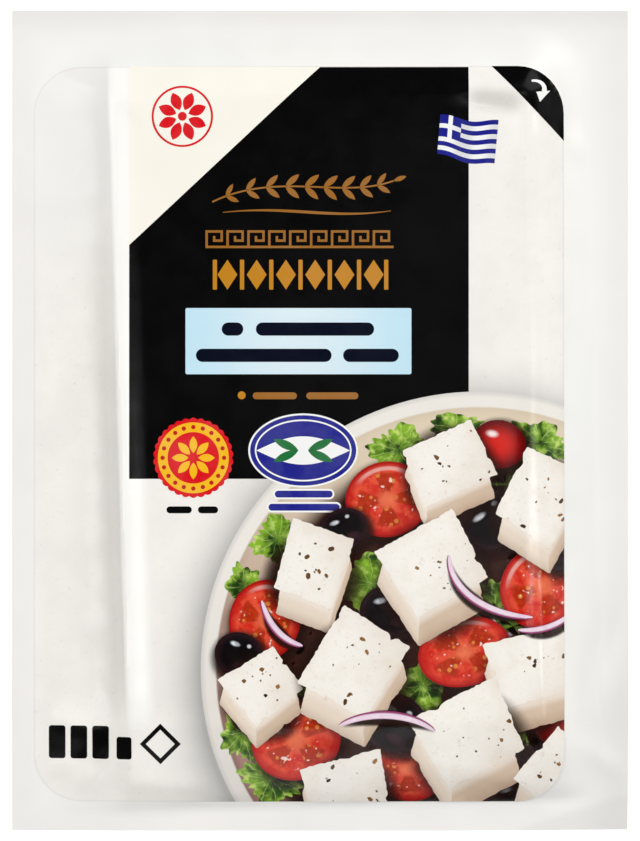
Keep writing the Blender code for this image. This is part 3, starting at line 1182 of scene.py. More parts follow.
def dish_paint(tree, place):
    """A china dish: a pale rim, an inner wall shaded from above, and the dark of the salad."""
    picture = bpy.context.scene.pack_picture
    u, v = from_dish(tree, place)
    away = distance_from(tree, u, v)
    edge = picture.dish_radius - picture.dish_rim
    up = maths(tree, "DIVIDE", v, picture.dish_radius)
    wall = mix(tree, remap(tree, up, -0.3, 0.95), shade(168, 128, 118), shade(226, 210, 184))
    depth = mix(tree, noise(tree, place, 4 * MM), shade(26, 10, 8), shade(70, 34, 22))
    reach = minus(tree, away, times(tree, up, -2.0 * MM))
    colour = mix(tree, remap(tree, reach, edge - 8.0 * MM, edge - 3.0 * MM), depth, wall)
    lower = remap(tree, up, 0.6, -0.4, 0.1, 0.55)
    dark = times(tree, remap(tree, away, edge - 2.0 * MM, edge), lower)
    colour = mix(tree, dark, colour, shade(110, 78, 70))
    china = mix(tree, remap(tree, up, -0.5, 0.6, 0.35, 0.0), picture.china, shade(206, 198, 190))
    colour = mix(tree, remap(tree, away, edge - 0.3 * MM, edge + 0.2 * MM), colour, china)
    lip = remap(tree, away, edge + 1.7 * MM, edge + 2.9 * MM, 0.0, 0.5)
    return mix(tree, lip, colour, shade(198, 194, 190))


def cheese_paint(tree, place):
    """White crumbly cheese: a lit top, and two sides that darken downwards."""
    picture = bpy.context.scene.pack_picture
    u, v = own_place(tree)
    tone = tone_of(tree)
    side = remap(tree, tone, 0.2, 0.3)
    shaded = mix(tree, remap(tree, tone, 0.7, 0.8), picture.cheese_side, picture.cheese_dark)
    lit_edge = remap(tree, v, 0.0, 0.35, 0.75, 0.0)
    shaded = mix(tree, lit_edge, shaded, shade(244, 234, 222))
    shaded = mix(tree, remap(tree, v, 0.35, 1.15, 0.0, 0.6), shaded, shade(160, 122, 98))
    far = maths(tree, "MAXIMUM", maths(tree, "ABSOLUTE", u), maths(tree, "ABSOLUTE", v))
    rim = plus(tree, far, times(tree, noise(tree, place, 2.5 * MM), 0.25))
    top = mix(tree, remap(tree, rim, 0.75, 1.2, 0.0, 0.30), picture.cheese, shade(236, 222, 206))
    colour = mix(tree, side, top, shaded)
    cells = noise(tree, place, 0.55 * MM, detail=4.0, roughness=0.65)
    pits = remap(tree, cells, 0.58, 0.72, 0.0, 0.38)
    colour = mix(tree, pits, colour, shade(206, 184, 162))
    cracks = remap(tree, noise(tree, place, 1.8 * MM, detail=5.0, roughness=0.6), 0.62, 0.70, 0.0, 0.30)
    colour = mix(tree, cracks, colour, shade(214, 190, 160))
    clouds = remap(tree, noise(tree, place, 5 * MM), 0.45, 0.75, 0.0, 0.26)
    colour = mix(tree, clouds, colour, shade(230, 212, 192))
    away = minus(tree, u, v)
    fade = remap(tree, away, -0.6, 1.8, 0.0, 0.30)
    fade = times(tree, fade, minus(tree, 1.0, side))
    return mix(tree, fade, colour, shade(214, 194, 174))


def tomato_paint(tree, place):
    """Cut tomatoes with skin, walls, chambers and seeds; a high tone gives a whole one."""
    picture = bpy.context.scene.pack_picture
    u, v = own_place(tree)
    away = distance_from(tree, u, v)
    tone = tone_of(tree)
    turn = times(tree, maths(tree, "ARCTAN2", v, u), 4.0)
    uneven = noise(tree, place, 1.6 * MM)
    swing = times(tree, tone, 60.0)
    swing = plus(tree, swing, times(tree, uneven, 1.3))
    lobes = remap(tree, maths(tree, "COSINE", plus(tree, turn, swing)), -0.35, 0.10)
    inside = remap(tree, away, 0.66, 0.76, 1.0, 0.0)
    inside = times(tree, inside, remap(tree, away, 0.14, 0.30))
    chamber = times(tree, lobes, inside)
    flesh = mix(tree, remap(tree, uneven, 0.3, 0.7), picture.flesh, shade(232, 84, 56))
    flesh = mix(tree, remap(tree, away, 0.0, 0.45, 0.55, 0.0), flesh, shade(240, 140, 96))
    gel = mix(tree, noise(tree, place, 0.8 * MM), shade(128, 10, 6), shade(214, 64, 16))
    colour = mix(tree, times(tree, chamber, 0.95), flesh, gel)
    cells = add_node(
        tree, "ShaderNodeTexVoronoi", None, {"Vector": place, "Scale": 1.0 / (1.7 * MM)}
    ).outputs["Distance"]
    seeds = times(tree, remap(tree, cells, 0.20, 0.32, 1.0, 0.0), chamber)
    colour = mix(tree, times(tree, seeds, 0.75), colour, shade(232, 150, 70))
    outer = remap(tree, away, 0.74, 0.90, 0.0, 0.75)
    colour = mix(tree, outer, colour, shade(190, 22, 16))
    colour = mix(tree, remap(tree, away, 0.91, 0.97), colour, picture.skin)
    low = remap(tree, minus(tree, u, v), 0.1, 1.5, 0.0, 0.45)
    colour = mix(tree, low, colour, shade(120, 10, 10))
    wet = remap(tree, noise(tree, place, 1.0 * MM, detail=1.0), 0.66, 0.74, 0.0, 0.75)
    colour = mix(tree, times(tree, wet, inside), colour, (1.0, 0.84, 0.76))
    arc = maths(tree, "ABSOLUTE", minus(tree, away, 0.82))
    arc = times(tree, remap(tree, arc, 0.02, 0.08, 1.0, 0.0), remap(tree, v, 0.45, 0.8))
    colour = mix(tree, times(tree, arc, 0.45), colour, (1.0, 0.75, 0.68))
    whole = mix(tree, remap(tree, away, 0.2, 1.0), shade(214, 32, 22), shade(96, 4, 6))
    shine = remap(tree, distance_from(tree, u, v, -0.30, 0.38, 1.5), 0.06, 0.30, 0.9, 0.0)
    whole = mix(tree, shine, whole, (1.0, 0.90, 0.86))
    return mix(tree, remap(tree, tone, 0.45, 0.55), colour, whole)


def olive_paint(tree, place):
    """Dark glossy olives with a purple sheen low down and soft highlights."""
    picture = bpy.context.scene.pack_picture
    u, v = own_place(tree)
    away = distance_from(tree, u, v)
    colour = mix(tree, remap(tree, away, 0.65, 1.0), picture.olive, shade(36, 16, 22))
    sheen = remap(tree, distance_from(tree, u, v, 0.25, -0.50, 1.6), 0.1, 0.45, 0.35, 0.0)
    colour = mix(tree, sheen, colour, shade(84, 46, 58))
    shine = remap(tree, distance_from(tree, u, v, -0.28, 0.40, 1.8), 0.08, 0.26, 0.95, 0.0)
    streaks = remap(tree, noise(tree, place, 1.2 * MM), 0.35, 0.6, 0.55, 1.0)
    colour = mix(tree, times(tree, shine, streaks), colour, (0.90, 0.92, 0.98))
    glint = remap(tree, distance_from(tree, u, v, 0.30, 0.50), 0.04, 0.12, 0.7, 0.0)
    return mix(tree, glint, colour, (0.9, 0.9, 0.95))


def leaf_paint(tree, place):
    """Curly leaves: dark depths, pale folds and bright edges."""
    picture = bpy.context.scene.pack_picture
    u, v = own_place(tree)
    away = distance_from(tree, u, v)
    fold = noise(tree, place, 3.4 * MM, detail=2.0)
    crimp = noise(tree, place, 1.3 * MM, detail=2.0)
    light = remap(tree, away, 0.0, 0.9, 0.4, 1.0)
    light = times(tree, light, remap(tree, fold, 0.34, 0.60))
    colour = mix(tree, light, picture.leaf_dark, picture.leaf)
    bright = times(tree, remap(tree, crimp, 0.46, 0.70), light)
    colour = mix(tree, bright, colour, shade(204, 226, 118))
    turn = times(tree, maths(tree, "ARCTAN2", v, u), 11.0)
    swing = plus(tree, turn, times(tree, fold, 9.0))
    veins = remap(tree, maths(tree, "COSINE", swing), 0.90, 1.0, 0.0, 0.55)
    colour = mix(tree, veins, colour, shade(190, 214, 120))
    dark = remap(tree, plus(tree, fold, crimp), 0.74, 0.94, 0.75, 0.0)
    return mix(tree, dark, colour, shade(14, 28, 8))


def onion_paint(tree, place):
    """Onion rings: a purple rim on one side and pale flesh on the other."""
    picture = bpy.context.scene.pack_picture
    u, v = own_place(tree)
    body = mix(tree, noise(tree, place, 1.5 * MM), shade(226, 190, 214), shade(250, 242, 246))
    colour = mix(tree, remap(tree, v, 0.60, 0.86), body, picture.onion)
    return mix(tree, remap(tree, v, 0.0, 0.2, 0.5, 0.0), colour, shade(190, 130, 170))


def pepper_paint(tree, place):
    """Coarse pepper, from dark to golden brown."""
    return mix(tree, tone_of(tree), shade(44, 30, 22), shade(158, 112, 58))


def shadow_cover(tree):
    """Cover of a soft shadow, strongest at the middle of its shape."""
    away = distance_from(tree, *own_place(tree))
    return times(tree, remap(tree, away, 0.62, 1.0, 1.0, 0.0), 0.62)


def flag_paint(tree, place):
    """Nine stripes and a cross in the corner, in the flag's own axes."""
    inks = bpy.context.scene.pack_print
    u, v = own_place(tree)
    stripe = maths(tree, "MODULO", maths(tree, "FLOOR", times(tree, v, 9.0)), 2.0)
    stripe = maths(tree, "GREATER_THAN", stripe, 0.5)
    colour = mix(tree, stripe, inks.blue, inks.white)
    in_corner = maths(tree, "LESS_THAN", u, 10 / 27)
    in_corner = times(tree, in_corner, maths(tree, "GREATER_THAN", v, 4 / 9))
    from_u = maths(tree, "ABSOLUTE", minus(tree, u, 5 / 27))
    from_v = maths(tree, "ABSOLUTE", minus(tree, v, 13 / 18))
    cross = maths(tree, "LESS_THAN", from_u, 1 / 27)
    cross = maths(tree, "MAXIMUM", cross, maths(tree, "LESS_THAN", from_v, 1 / 18))
    canton = mix(tree, cross, inks.blue, inks.white)
    colour = mix(tree, in_corner, colour, canton)
    folds = maths(tree, "SINE", times(tree, u, 11.0))
    return mix(tree, remap(tree, folds, -1.0, 1.0, 0.22, 0.0), colour, shade(60, 60, 110))


def drifting(colour, share, other=None, size=6 * MM):
    """An ink of one colour that drifts unevenly towards another, or else towards a paler one."""
    other = other or [0.5 + 0.5 * channel for channel in colour]

    def paint(tree, place):
        drift = remap(tree, noise(tree, place, size), 0.35, 0.65, 0.0, share)
        return mix(tree, drift, colour, other)

    return paint


def colour_ink(name, colour, lighter, shine=INK_SHINE):
    """An ink of one colour with a faint, uneven lightening."""
    return make_ink(name, drifting(colour, lighter), shine=shine)


def black_ink(name, lighter):
    """Matt black ink."""
    return colour_ink(name, bpy.context.scene.pack_print.black, lighter, shine=DARK_SHINE)


# Pieces of the pack.


def film_sheet():
    """The whole film as a flat sheet of facets."""
    half = (PACK_WIDTH / 2 / MM, PACK_LENGTH / 2 / MM)
    return facets_over((-half[0], -half[1]), half, 0)


def closed_sheet(mesh, upper, lower):
    """Turns a flat sheet into a closed slab between two reliefs."""
    low_verts = mesh.verts[:]
    result = bmesh.ops.extrude_face_region(mesh, geom=mesh.faces[:])
    high_verts = [item for item in result["geom"] if isinstance(item, bmesh.types.BMVert)]
    for verts, relief in ((low_verts, lower), (high_verts, upper)):
        places = np.array([vert.co[:2] for vert in verts])
        for vert, level in zip(verts, relief(places[:, 0], places[:, 1])):
            vert.co.z = level
    bmesh.ops.recalc_face_normals(mesh, faces=mesh.faces)


def film_material(name):
    """The films' own material."""
    rough = bpy.context.scene.pack_film.roughness
    return make_ink(name, film_paint, shine=FILM_SHINE, roughness=rough)


class PACK_OT_front_film(bpy.types.Operator):
    """Builds the white front film over the brick"""

    bl_idname = "pack.front_film"
    bl_label = "Front Film"

    def execute(self, context):
        mesh = film_sheet()
        closed_sheet(mesh, front_height, lambda x, y: front_height(x, y) - FRONT_FILM)
        piece = add_piece("front_web", mesh, film_material("white film"))
        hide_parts("front_film")
        return {"FINISHED"}


class PACK_OT_back_film(bpy.types.Operator):
    """Builds the formed back film, filled with the brick"""

    bl_idname = "pack.back_film"
    bl_label = "Back Film"

    def execute(self, context):
        mesh = film_sheet()
        closed_sheet(mesh, lambda x, y: front_height(x, y) - FRONT_FILM - WEB_GAP, back_height)
        piece = add_piece("back_web", mesh, film_material("white back film"))
        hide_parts("pack_body")
        return {"FINISHED"}


def print_outline():
    """The print's rounded outline, anticlockwise."""
    return rounded(PRINT_LOW, PRINT_HIGH, PRINT_CORNER)


class PACK_OT_print_fields(bpy.types.Operator):
    """Lays the print's stone ground, dark panel, cut corner, light box and peel corner"""

    bl_idname = "pack.print_fields"
    bl_label = "Print Fields"

    def execute(self, context):
        inks = context.scene.pack_print
        outline = print_outline()
        ground = facets_over(PRINT_LOW, PRINT_HIGH, GROUND)
        keep_within(ground, outline)
        add_print("print_ground", ground, make_ink("stone ink", stone_paint))

        panel = facets_over((PANEL_LEFT, PANEL_LOW), (PANEL_RIGHT, PANEL_HIGH), PANEL)
        sides = [(PANEL_LEFT, PANEL_LOW), (PANEL_RIGHT, PANEL_LOW), (PANEL_RIGHT, PANEL_HIGH)]
        keep_within(panel, [*sides, PANEL_CUT[1], PANEL_CUT[0]])
        (left, top), (right, foot) = PEEL_CUT
        peel = facets_over((left, foot), PRINT_HIGH, PANEL)
        keep_within(peel, outline)
        keep_within(peel, [(right, foot), (FAR, foot), (FAR, FAR), (left, FAR), (left, top)])
        join(panel, peel)
        add_print("print_panel", panel, black_ink("black ink", 0.0004))

        (left, foot), (right, _) = PANEL_CUT
        corner = facets_over((left, foot), (right, PRINT_HIGH[1]), PANEL)
        keep_within(corner, [*PANEL_CUT, (left, PRINT_HIGH[1])])
        add_print("print_corner", corner, colour_ink("cream ink", inks.cream, 0.1))

        box = facets_over(BOX_LOW, BOX_HIGH, BOX)
        keep_within(box, rounded(BOX_LOW, BOX_HIGH, 0.3, steps=2))
        add_print("print_box", box, make_ink("sky ink", box_paint))
        return {"FINISHED"}


def box_paint(tree, place):
    """Light blue that fades to a paler middle."""
    inks = bpy.context.scene.pack_print
    middle = (BOX_LOW[0] + BOX_HIGH[0]) / 2 * MM
    half = (BOX_HIGH[0] - BOX_LOW[0]) / 2 * MM
    away = maths(tree, "ABSOLUTE", minus(tree, axes_of(tree, place)[0], middle))
    return mix(tree, remap(tree, away, 0.1 * half, half), shade(222, 240, 247), inks.sky)


def bars(mesh, rows, layer):
    """Plain bars with round ends."""
    for left, right, middle, height in rows:
        fill(mesh, [bar(left, right, middle, height)], layer)


class PACK_OT_ornaments(bpy.types.Operator):
    """Lays the sprig, the bands, the plain bars, the arrow and the rosette"""

    bl_idname = "pack.ornaments"
    bl_label = "Ornaments"

    def execute(self, context):
        inks = context.scene.pack_print
        add_print("ornament_bronze", bronze_shapes(), colour_ink("bronze ink", inks.bronze, 0.03))
        add_print("ornament_gold", gold_shapes(), colour_ink("gold ink", inks.gold, 0.04))
        mesh = new_shapes()
        bars(mesh, BOX_BARS, ORNAMENT)
        navy = colour_ink("navy ink", inks.navy, 0.003, shine=DARK_SHINE)
        add_print("ornament_navy", mesh, navy)
        mesh = new_shapes()
        fill(mesh, [stroke(smooth_line(ARROW_LINE), lambda share: 0.4 + 0.6 * share)], ORNAMENT)
        fill(mesh, [list(ARROW_HEAD)], ORNAMENT + 1)
        add_print("ornament_arrow", mesh, colour_ink("white arrow ink", inks.white, 0.05))
        add_print("ornament_rosette", rosette_shapes(), colour_ink("red ink", inks.red, 0.04))
        return {"FINISHED"}


def bronze_shapes():
    """A thin sprig with a flourish under it, a key band, and the note's bars."""
    mesh = new_shapes()
    stem = smooth_line(SPRIG_LINE, steps=30)
    fill(mesh, [stroke(stem, 0.32)], ORNAMENT)
    for index in range(2, len(stem) - 2, 3):
        way = Vector(stem[index + 1]) - Vector(stem[index])
        turn = math.atan2(way.y, way.x)
        size = 0.8 + 0.35 * math.sin(math.pi * index / len(stem))
        for side in (-1, 1):
            fill(mesh, [leaf(stem[index], 3.1 * size, 1.05 * size, turn + side * 0.72)], ORNAMENT)
    fill(mesh, [leaf(stem[-1], 2.6, 0.9, 0.35)], ORNAMENT)
    flourish = smooth_line(FLOURISH_LINE)
    fill(mesh, [stroke(flourish, lambda share: 0.12 + 0.42 * math.sin(math.pi * share))], ORNAMENT)
    add_key_band(mesh, *KEY_BAND)
    bars(mesh, NOTE_BARS, ORNAMENT)
    return mesh


def add_key_band(mesh, left, right, middle, height, units=9, line=0.46):
    """A band of hooked keys on a common foot."""
    low, step = middle - height / 2, (right - left) / units
    fill(mesh, [[(left, low), (right, low), (right, low + line), (left, low + line)]], ORNAMENT)
    for unit in range(units):
        x = left + step * unit + line / 2
        top, inner = low + height - line / 2, low + 0.42 * height
        hook = [(x, low + line), (x, top), (x + 0.72 * step, top), (x + 0.72 * step, inner)]
        hook += [(x + 0.36 * step, inner), (x + 0.36 * step, inner + 0.26 * height)]
        fill(mesh, [stroke(hook, line)], ORNAMENT)


def gold_shapes():
    """A bold band of lozenges and bars, and the note's dot."""
    mesh = new_shapes()
    left, right, middle, height = LOZENGE_BAND
    units = 6
    step = (right - left) / units
    for unit in range(units):
        x = left + step * (unit + 0.5)
        half = 0.34 * step
        tip = height / 2
        outline = [(x - half, middle), (x, middle - tip), (x + half, middle), (x, middle + tip)]
        fill(mesh, [outline], ORNAMENT)
    for unit in range(units + 1):
        x = min(max(left + step * unit, left + 0.4), right - 0.4)
        fill(mesh, [bar_upright(x - 0.4, x + 0.4, middle, height)], ORNAMENT)
    fill(mesh, [oval(NOTE_DOT[0], (NOTE_DOT[1], NOTE_DOT[1]), steps=20)], ORNAMENT)
    return mesh


def bar_upright(left, right, middle, height):
    half = height / 2
    return rounded((left, middle - half), (right, middle + half), (right - left) * 0.2, steps=3)


def rosette_shapes():
    """A round flower of eight petals in a thin ring."""
    mesh = new_shapes()
    rings = [oval(ROSETTE_MIDDLE, (reach, reach), steps=64) for reach in (5.85, 5.45)]
    fill(mesh, rings, ORNAMENT)
    for petal in range(PETALS):
        turn = math.tau * (petal + 0.5) / PETALS
        foot = turned((1.25, 0.0), turn, ROSETTE_MIDDLE)
        fill(mesh, [leaf(foot, 3.6, 2.05, turn)], ORNAMENT)
    fill(mesh, [oval(ROSETTE_MIDDLE, (0.85, 0.85), steps=20)], ORNAMENT)
    return mesh


class PACK_OT_badges(bpy.types.Operator):
    """Lays the flag, the round and the oval badge, and the plain bars under them"""

    bl_idname = "pack.badges"
    bl_label = "Badges"

    def execute(self, context):
        inks = context.scene.pack_print
        mesh = new_shapes()
        bend(mesh, 24, 12, flag_path, ORNAMENT)
        add_print("badge_flag", mesh, make_ink("flag ink", flag_paint))

        mesh = new_shapes()
        fill(mesh, [scalloped(ROUND_MIDDLE, *ROUND_SCALLOPS)], BADGE)
        fill(mesh, [oval(ROUND_MIDDLE, (4.7, 4.7), steps=40)], BADGE + 2)
        add_print("badge_round_red", mesh, colour_ink("badge red ink", inks.red, 0.05))
        mesh = new_shapes()
        fill(mesh, [oval(ROUND_MIDDLE, (reach, reach), steps=56) for reach in (6.75, 4.9)], BADGE + 1)
        for petal in range(PETALS):
            turn = math.tau * petal / PETALS
            fill(mesh, [leaf(turned((0.9, 0.0), turn, ROUND_MIDDLE), 3.2, 1.5, turn)], BADGE + 3)
        add_print("badge_round_yellow", mesh, colour_ink("yellow ink", inks.yellow, 0.08))
        mesh = new_shapes()
        for dot in range(ROUND_DOTS):
            place = turned((5.85, 0.0), math.tau * dot / ROUND_DOTS, ROUND_MIDDLE)
            fill(mesh, [oval(place, (0.42, 0.42), steps=10)], BADGE + 3)
        add_print("badge_round_dots", mesh, colour_ink("dark red ink", shade(190, 20, 20), 0.05))

        mesh = new_shapes()
        fill(mesh, [oval(OVAL_MIDDLE, OVAL_RADII, steps=72)], BADGE)
        bars(mesh, OVAL_BARS, BADGE + 1)
        add_print("badge_oval_blue", mesh, colour_ink("blue ink", inks.blue, 0.05))
        mesh = new_shapes()
        for step, *edges in OVAL_RINGS:
            fill(mesh, [oval(OVAL_MIDDLE, radii, steps=72) for radii in edges], BADGE + step)
        fill(mesh, [lens(OVAL_MIDDLE, 8.9, 2.7)], BADGE + 1)
        for left, right, middle, height in OVAL_BARS:
            wider = (left - BAR_RIM, right + BAR_RIM, middle, height + 2 * BAR_RIM)
            bars(mesh, [wider], BADGE)
        add_print("badge_oval_white", mesh, colour_ink("badge white ink", inks.white, 0.05))
        mesh = new_shapes()
        for side in (0.0, math.pi):
            for lift in (-0.42, 0.42):
                foot = turned((0.9, 0.0), side, OVAL_MIDDLE)
                fill(mesh, [leaf(foot, 5.2, 1.6, side + lift)], BADGE + 2)
        add_print("badge_oval_green", mesh, colour_ink("green ink", inks.green, 0.06))

        mesh = new_shapes()
        bars(mesh, ROUND_BARS, ORNAMENT)
        add_print("badge_black_bars", mesh, black_ink("black bar ink", 0.002))
        return {"FINISHED"}


def flag_path(along, across):
    """Lays a flag between its four corners, with waves along it."""
    low_left, low_right, high_left, high_right = FLAG_CORNERS
    low = [a + (b - a) * along for a, b in zip(low_left, low_right)]
    high = [a + (b - a) * along for a, b in zip(high_left, high_right)]
    x, y = (a + (b - a) * across for a, b in zip(low, high))
    return x, y + 0.42 * math.sin(math.tau * (1.1 * along + 0.15))


def scalloped(middle, radius, depth, count, steps=6):
    """A disc with a scalloped edge."""
    points = []
    for step in range(count * steps):
        turn = math.tau * step / (count * steps)
        reach = radius - depth + depth * abs(math.sin(turn * count / 2))
        points.append((middle[0] + reach * math.cos(turn), middle[1] + reach * math.sin(turn)))
    return points


def lens(middle, half_width, half_height, steps=24):
    """A lens with pointed ends."""
    under = []
    for step in range(steps + 1):
        share = step / steps
        under.append((half_width * (2 * share - 1), -half_height * math.sin(math.pi * share)))
    over = [(x, -y) for x, y in reversed(under[1:-1])]
    return [(middle[0] + x, middle[1] + y) for x, y in under + over]


class PACK_OT_corner_mark(bpy.types.Operator):
    """Lays upright bars and a thin lozenge in the lower left corner"""

    bl_idname = "pack.corner_mark"
    bl_label = "Corner Mark"

    def execute(self, context):
        inks = context.scene.pack_print
        mesh = new_shapes()
        for left, right, height in MARK_BARS:
            low, high = (left, MARK_FOOT), (right, MARK_FOOT + height)
            fill(mesh, [rounded(low, high, 0.5, steps=4)], ORNAMENT)
        (x, y), (half_x, half_y), line = MARK_LOZENGE
        outer = [(x - half_x, y), (x, y - half_y), (x + half_x, y), (x, y + half_y)]
        share = 1.0 - line * 1.5 / half_x
        inner = [(x + (a - x) * share, y + (b - y) * share) for a, b in outer]
        fill(mesh, [outer, inner], ORNAMENT)
        add_print("corner_mark", mesh, black_ink("mark black ink", 0.002))
        return {"FINISHED"}


class PACK_OT_salad(bpy.types.Operator):
    """Lays the picture of a generic salad with cheese in a dish"""

    bl_idname = "pack.salad"
    bl_label = "Salad Picture"

    def execute(self, context):
        picture = context.scene.pack_picture
        radius = picture.dish_radius / MM
        dish_low = (DISH_MIDDLE[0] - radius, PRINT_LOW[1])
        dish_high = (PRINT_HIGH[0], DISH_MIDDLE[1] + radius)
        dish = facets_over(dish_low, dish_high, DISH)
        keep_round(dish, DISH_MIDDLE, radius)
        keep_within(dish, corner_trim())
        add_print("picture_dish", dish, make_ink("dish ink", dish_paint))

        shadows = new_shapes()
        foods = {name: new_shapes() for name in ("leaves", "onions", "tomatoes", "olives", "cheese")}
        for index, (middle, radii, turn) in enumerate(LEAVES_GREEN):
            place = round_place(middle, radii, math.radians(turn))
            outline = frilled(middle, radii, math.radians(turn), seed=40 + index)
            fill(foods["leaves"], [outline], LEAVES, place=place)
        for middle, radii, start, end, width in ONIONS_UNDER:
            bend(foods["onions"], 20, 3, arc_band(middle, radii, start, end, width), LEAVES + 1)
        for middle, radii, turn, tone in TOMATOES_CUT:
            add_round_food(foods["tomatoes"], shadows, middle, radii, turn, TOMATOES, tone)
        for middle, radii, turn in OLIVES_BLACK:
            add_round_food(foods["olives"], shadows, middle, radii, turn, OLIVES, 0.0)
        specks = new_shapes()
        for layer, blocks in ((BACK_BLOCKS, BACK_CHEESE), (FRONT_BLOCKS, FRONT_CHEESE)):
            for index, block in enumerate(blocks):
                add_block(foods["cheese"], shadows, specks, *block, layer, seed=10 * layer + index)
        for middle, radii, start, end, width in ONIONS_OVER:
            bend(foods["onions"], 20, 3, arc_band(middle, radii, start, end, width), TOP_FOOD)
            under = (middle[0] + 0.3, middle[1] - 0.6)
            dark = arc_band(under, radii, start, end, width + 2.0)
            bend(shadows, 20, 4, dark, TOP_FOOD - 1, place=FROM_MIDDLE)
        paints = {
            "leaves": leaf_paint,
            "onions": onion_paint,
            "tomatoes": tomato_paint,
            "olives": olive_paint,
            "cheese": cheese_paint,
        }
        for name, mesh in foods.items():
            keep_within(mesh, corner_trim())
            add_print("picture_" + name, mesh, make_ink(name + " ink", paints[name]))
        keep_within(specks, corner_trim())
        add_print("picture_pepper", specks, make_ink("pepper ink", pepper_paint))
        keep_within(shadows, corner_trim())
        brown = drifting(shade(46, 22, 16), 0.5, shade(30, 14, 10), 4 * MM)
        soft = make_ink("soft shadow ink", brown, alpha=shadow_cover)
        add_print("picture_shadows", shadows, soft)
        return {"FINISHED"}


def add_round_food(mesh, shadows, middle, radii, turn, layer, tone):
    """A round piece of food and the soft shadow under it."""
    turn = math.radians(turn)
    place = round_place(middle, radii, turn)
    fill(mesh, [oval(middle, radii, steps=40, turn=turn)], layer, tone=tone, place=place)
    under = (middle[0] + 0.4, middle[1] - 0.9)
    wide = (radii[0] + 1.9, radii[1] + 1.9)
    place = round_place(under, wide, turn)
    fill(shadows, [oval(under, wide, steps=28, turn=turn)], layer - 1, place=place)


def add_block(mesh, shadows, specks, middle, size, turn, drop, layer, seed):
    """A block of cheese seen from above and in front: two sides, a top, pepper and a shadow."""
    draw = random.Random(seed)
    turn = math.radians(turn)
    half = (size[0] / 2, size[1] / 2)
    signs = ((-1, -1), (1, -1), (1, 1), (-1, 1))
    corners = []
    for x, y in signs:
        worn = (1.0 + draw.uniform(-0.14, 0.07), 1.0 + draw.uniform(-0.14, 0.07))
        corners.append(turned((x * half[0] * worn[0], y * half[1] * worn[1]), turn, middle))
    lowest = min(range(4), key=lambda index: corners[index][1])
    left, foot, right = corners[lowest - 1], corners[lowest], corners[(lowest + 1) % 4]
    low_left, low_foot, low_right = (
        (x, y - drop) for x, y in (towards(point, middle, 0.06) for point in (left, foot, right))
    )
    inner_left, inner_foot, inner_right = (towards(point, middle, 0.2) for point in (left, foot, right))
    whole = [low_left, low_foot, low_right, inner_right, inner_foot, inner_left]
    sides = ((foot, right, whole), (left, foot, [low_left, low_foot, inner_foot, inner_left]))
    for step, (first, second, outline) in enumerate(sides):
        along = ((second[0] - first[0]) * MM, (second[1] - first[1]) * MM)
        place = ((first[0] * MM, first[1] * MM), along, (0.0, -drop * MM))
        tone = 1.0 - 0.5 * step
        fill(mesh, [crumbled(outline, 0.14, seed + 3)], layer + step, tone=tone, place=place)
    place = round_place(middle, half, turn)
    fill(mesh, [crumbled(corners, 0.26, seed)], layer + 2, place=place)
    under = (middle[0] + 0.3, middle[1] - drop * 0.55)
    wide = (size[0] * 0.66 + 0.8, size[1] * 0.66 + 0.8 + drop * 0.3)
    place = round_place(under, wide, turn)
    fill(shadows, [oval(under, wide, steps=32, turn=turn)], layer - 1, place=place)
    for _ in range(PEPPER_SPECKS):
        spot = (draw.gauss(0.1, 0.42), draw.gauss(-0.1, 0.42))
        spot = [max(-0.84, min(0.84, share)) * reach for share, reach in zip(spot, half)]
        reach = draw.uniform(0.14, 0.34) + 0.3 * (draw.random() > 0.72)
        spin = draw.uniform(0.0, math.pi)
        speck = turned(spot, turn, middle)
        outline = oval(speck, (reach, reach * 0.66), steps=6, turn=spin, uneven=0.35, seed=seed)
        fill(specks, [outline], layer + 3, tone=draw.random())


def towards(point, other, share):
    """A point moved a share of the way to another."""
    return tuple(a + (b - a) * share for a, b in zip(point, other))


class PACK_OT_studio(bpy.types.Operator):
    """Sets up the floor, the lamps, the world and the camera"""

    bl_idname = "pack.studio"
    bl_label = "Studio"

    def execute(self, context):
        studio = context.scene.pack_studio
        add_floor(studio)
        for name, place, size in LAMPS:
            add_lamp(name + "_lamp", place, size, getattr(studio, name + "_power"))
        add_world()
        add_camera(studio)
        context.scene.view_settings.view_transform = "Standard"
        return {"FINISHED"}


def add_floor(studio):
    mesh = bmesh.new()
    bmesh.ops.create_circle(mesh, cap_ends=True, radius=FLOOR_RADIUS, segments=96)
    data = bpy.data.meshes.new("floor")
    mesh.to_mesh(data)
    mesh.free()
    material = bpy.data.materials.new("floor")
    material.use_nodes = True
    tree = material.node_tree
    shader = tree.nodes["Principled BSDF"]
    soft = remap(tree, noise(tree, object_place(tree), 0.25), 0.3, 0.7)
    colour = mix(tree, times(tree, soft, 0.02), studio.floor, (0.8, 0.8, 0.8))
    tree.links.new(colour, shader.inputs["Base Color"])
    shader.inputs["Roughness"].default_value = 0.9
    shader.inputs["Specular IOR Level"].default_value = 0.1
    shader.inputs["Emission Color"].default_value = (1.0, 1.0, 1.0, 1.0)
    shader.inputs["Emission Strength"].default_value = FLOOR_GLOW
    data.materials.append(material)
    floor = bpy.data.objects.new("floor", data)
    bpy.context.scene.collection.objects.link(floor)


def add_lamp(name, place, size, power):
    """A soft lamp that faces the pack."""
    data = bpy.data.lights.new(name, "AREA")
    data.shape = "RECTANGLE"
    data.size, data.size_y = size
    data.energy = power
    lamp = bpy.data.objects.new(name, data)
    lamp.location = place
    lamp.rotation_euler = (-Vector(place)).to_track_quat("-Z", "Y").to_euler()
    bpy.context.scene.collection.objects.link(lamp)


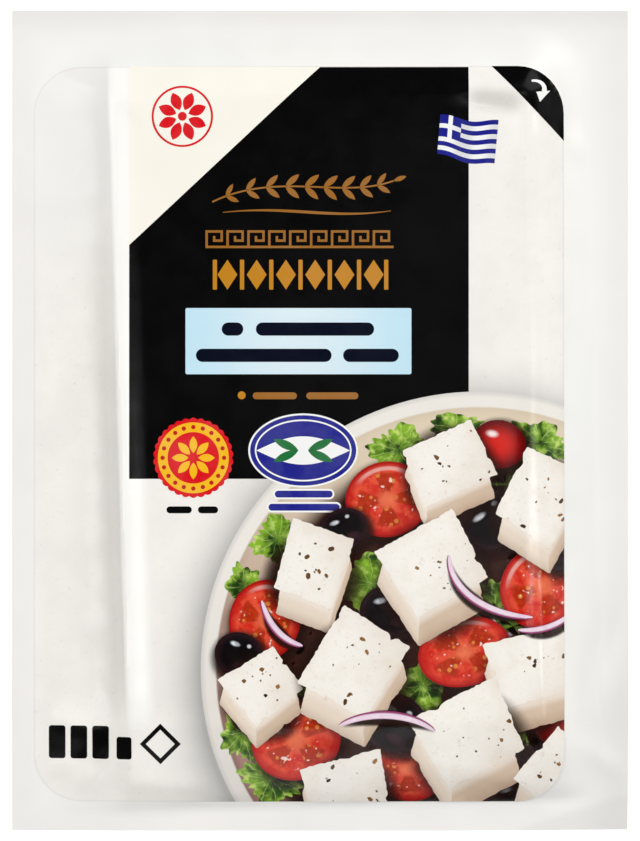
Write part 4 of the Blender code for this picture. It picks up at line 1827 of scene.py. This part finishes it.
def add_world():
    """Dim light from all round, but a pale backdrop where the camera sees it."""
    world = bpy.data.worlds.new("studio")
    world.use_nodes = True
    tree = world.node_tree
    background = tree.nodes["Background"]
    seen = add_node(tree, "ShaderNodeLightPath").outputs["Is Camera Ray"]
    colour = mix(tree, seen, (0.06, 0.06, 0.06), (0.93, 0.93, 0.93))
    tree.links.new(colour, background.inputs["Color"])
    bpy.context.scene.world = world


def add_camera(studio):
    """A camera straight above the pack, with the pack's top edge up."""
    data = bpy.data.cameras.new("camera")
    data.lens = studio.lens
    data.sensor_width = 36.0
    data.clip_start, data.clip_end = 0.05, 20.0
    camera = bpy.data.objects.new("camera", data)
    distance = PHOTO_HEIGHT * PHOTO_PIXEL * data.lens / data.sensor_width
    camera.location = (0.0, 0.0, PHOTO_PLANE + distance)
    bpy.context.scene.collection.objects.link(camera)
    bpy.context.scene.camera = camera


SETTINGS = {
    "pack_film": FilmSettings,
    "pack_print": PrintSettings,
    "pack_picture": PictureSettings,
    "pack_studio": StudioSettings,
}
STEPS = (
    PACK_OT_front_film,
    PACK_OT_back_film,
    PACK_OT_print_fields,
    PACK_OT_ornaments,
    PACK_OT_salad,
    PACK_OT_badges,
    PACK_OT_corner_mark,
    PACK_OT_studio,
)


class PACK_PT_sidebar(bpy.types.Panel):
    """Lists the pack's settings and the steps that build it"""

    bl_idname = "PACK_PT_sidebar"
    bl_label = "Feta Pack"
    bl_space_type = "VIEW_3D"
    bl_region_type = "UI"
    bl_category = "Feta Pack"

    def draw(self, context):
        for name, group in SETTINGS.items():
            box = self.layout.box()
            for setting in group.__annotations__:
                box.prop(getattr(context.scene, name), setting)
        for step in STEPS:
            self.layout.operator(step.bl_idname)


def register():
    for item in (*SETTINGS.values(), *STEPS, PACK_PT_sidebar):
        bpy.utils.register_class(item)
    for name, group in SETTINGS.items():
        setattr(bpy.types.Scene, name, PointerProperty(type=group))


def unregister():
    for name in SETTINGS:
        delattr(bpy.types.Scene, name)
    for item in (PACK_PT_sidebar, *STEPS, *SETTINGS.values()):
        bpy.utils.unregister_class(item)


def main():
    register()
    bpy.ops.pack.front_film()
    bpy.ops.pack.back_film()
    bpy.ops.pack.print_fields()
    bpy.ops.pack.ornaments()
    bpy.ops.pack.salad()
    bpy.ops.pack.badges()
    bpy.ops.pack.corner_mark()
    bpy.ops.pack.studio()


if __name__ == "__main__":
    main()
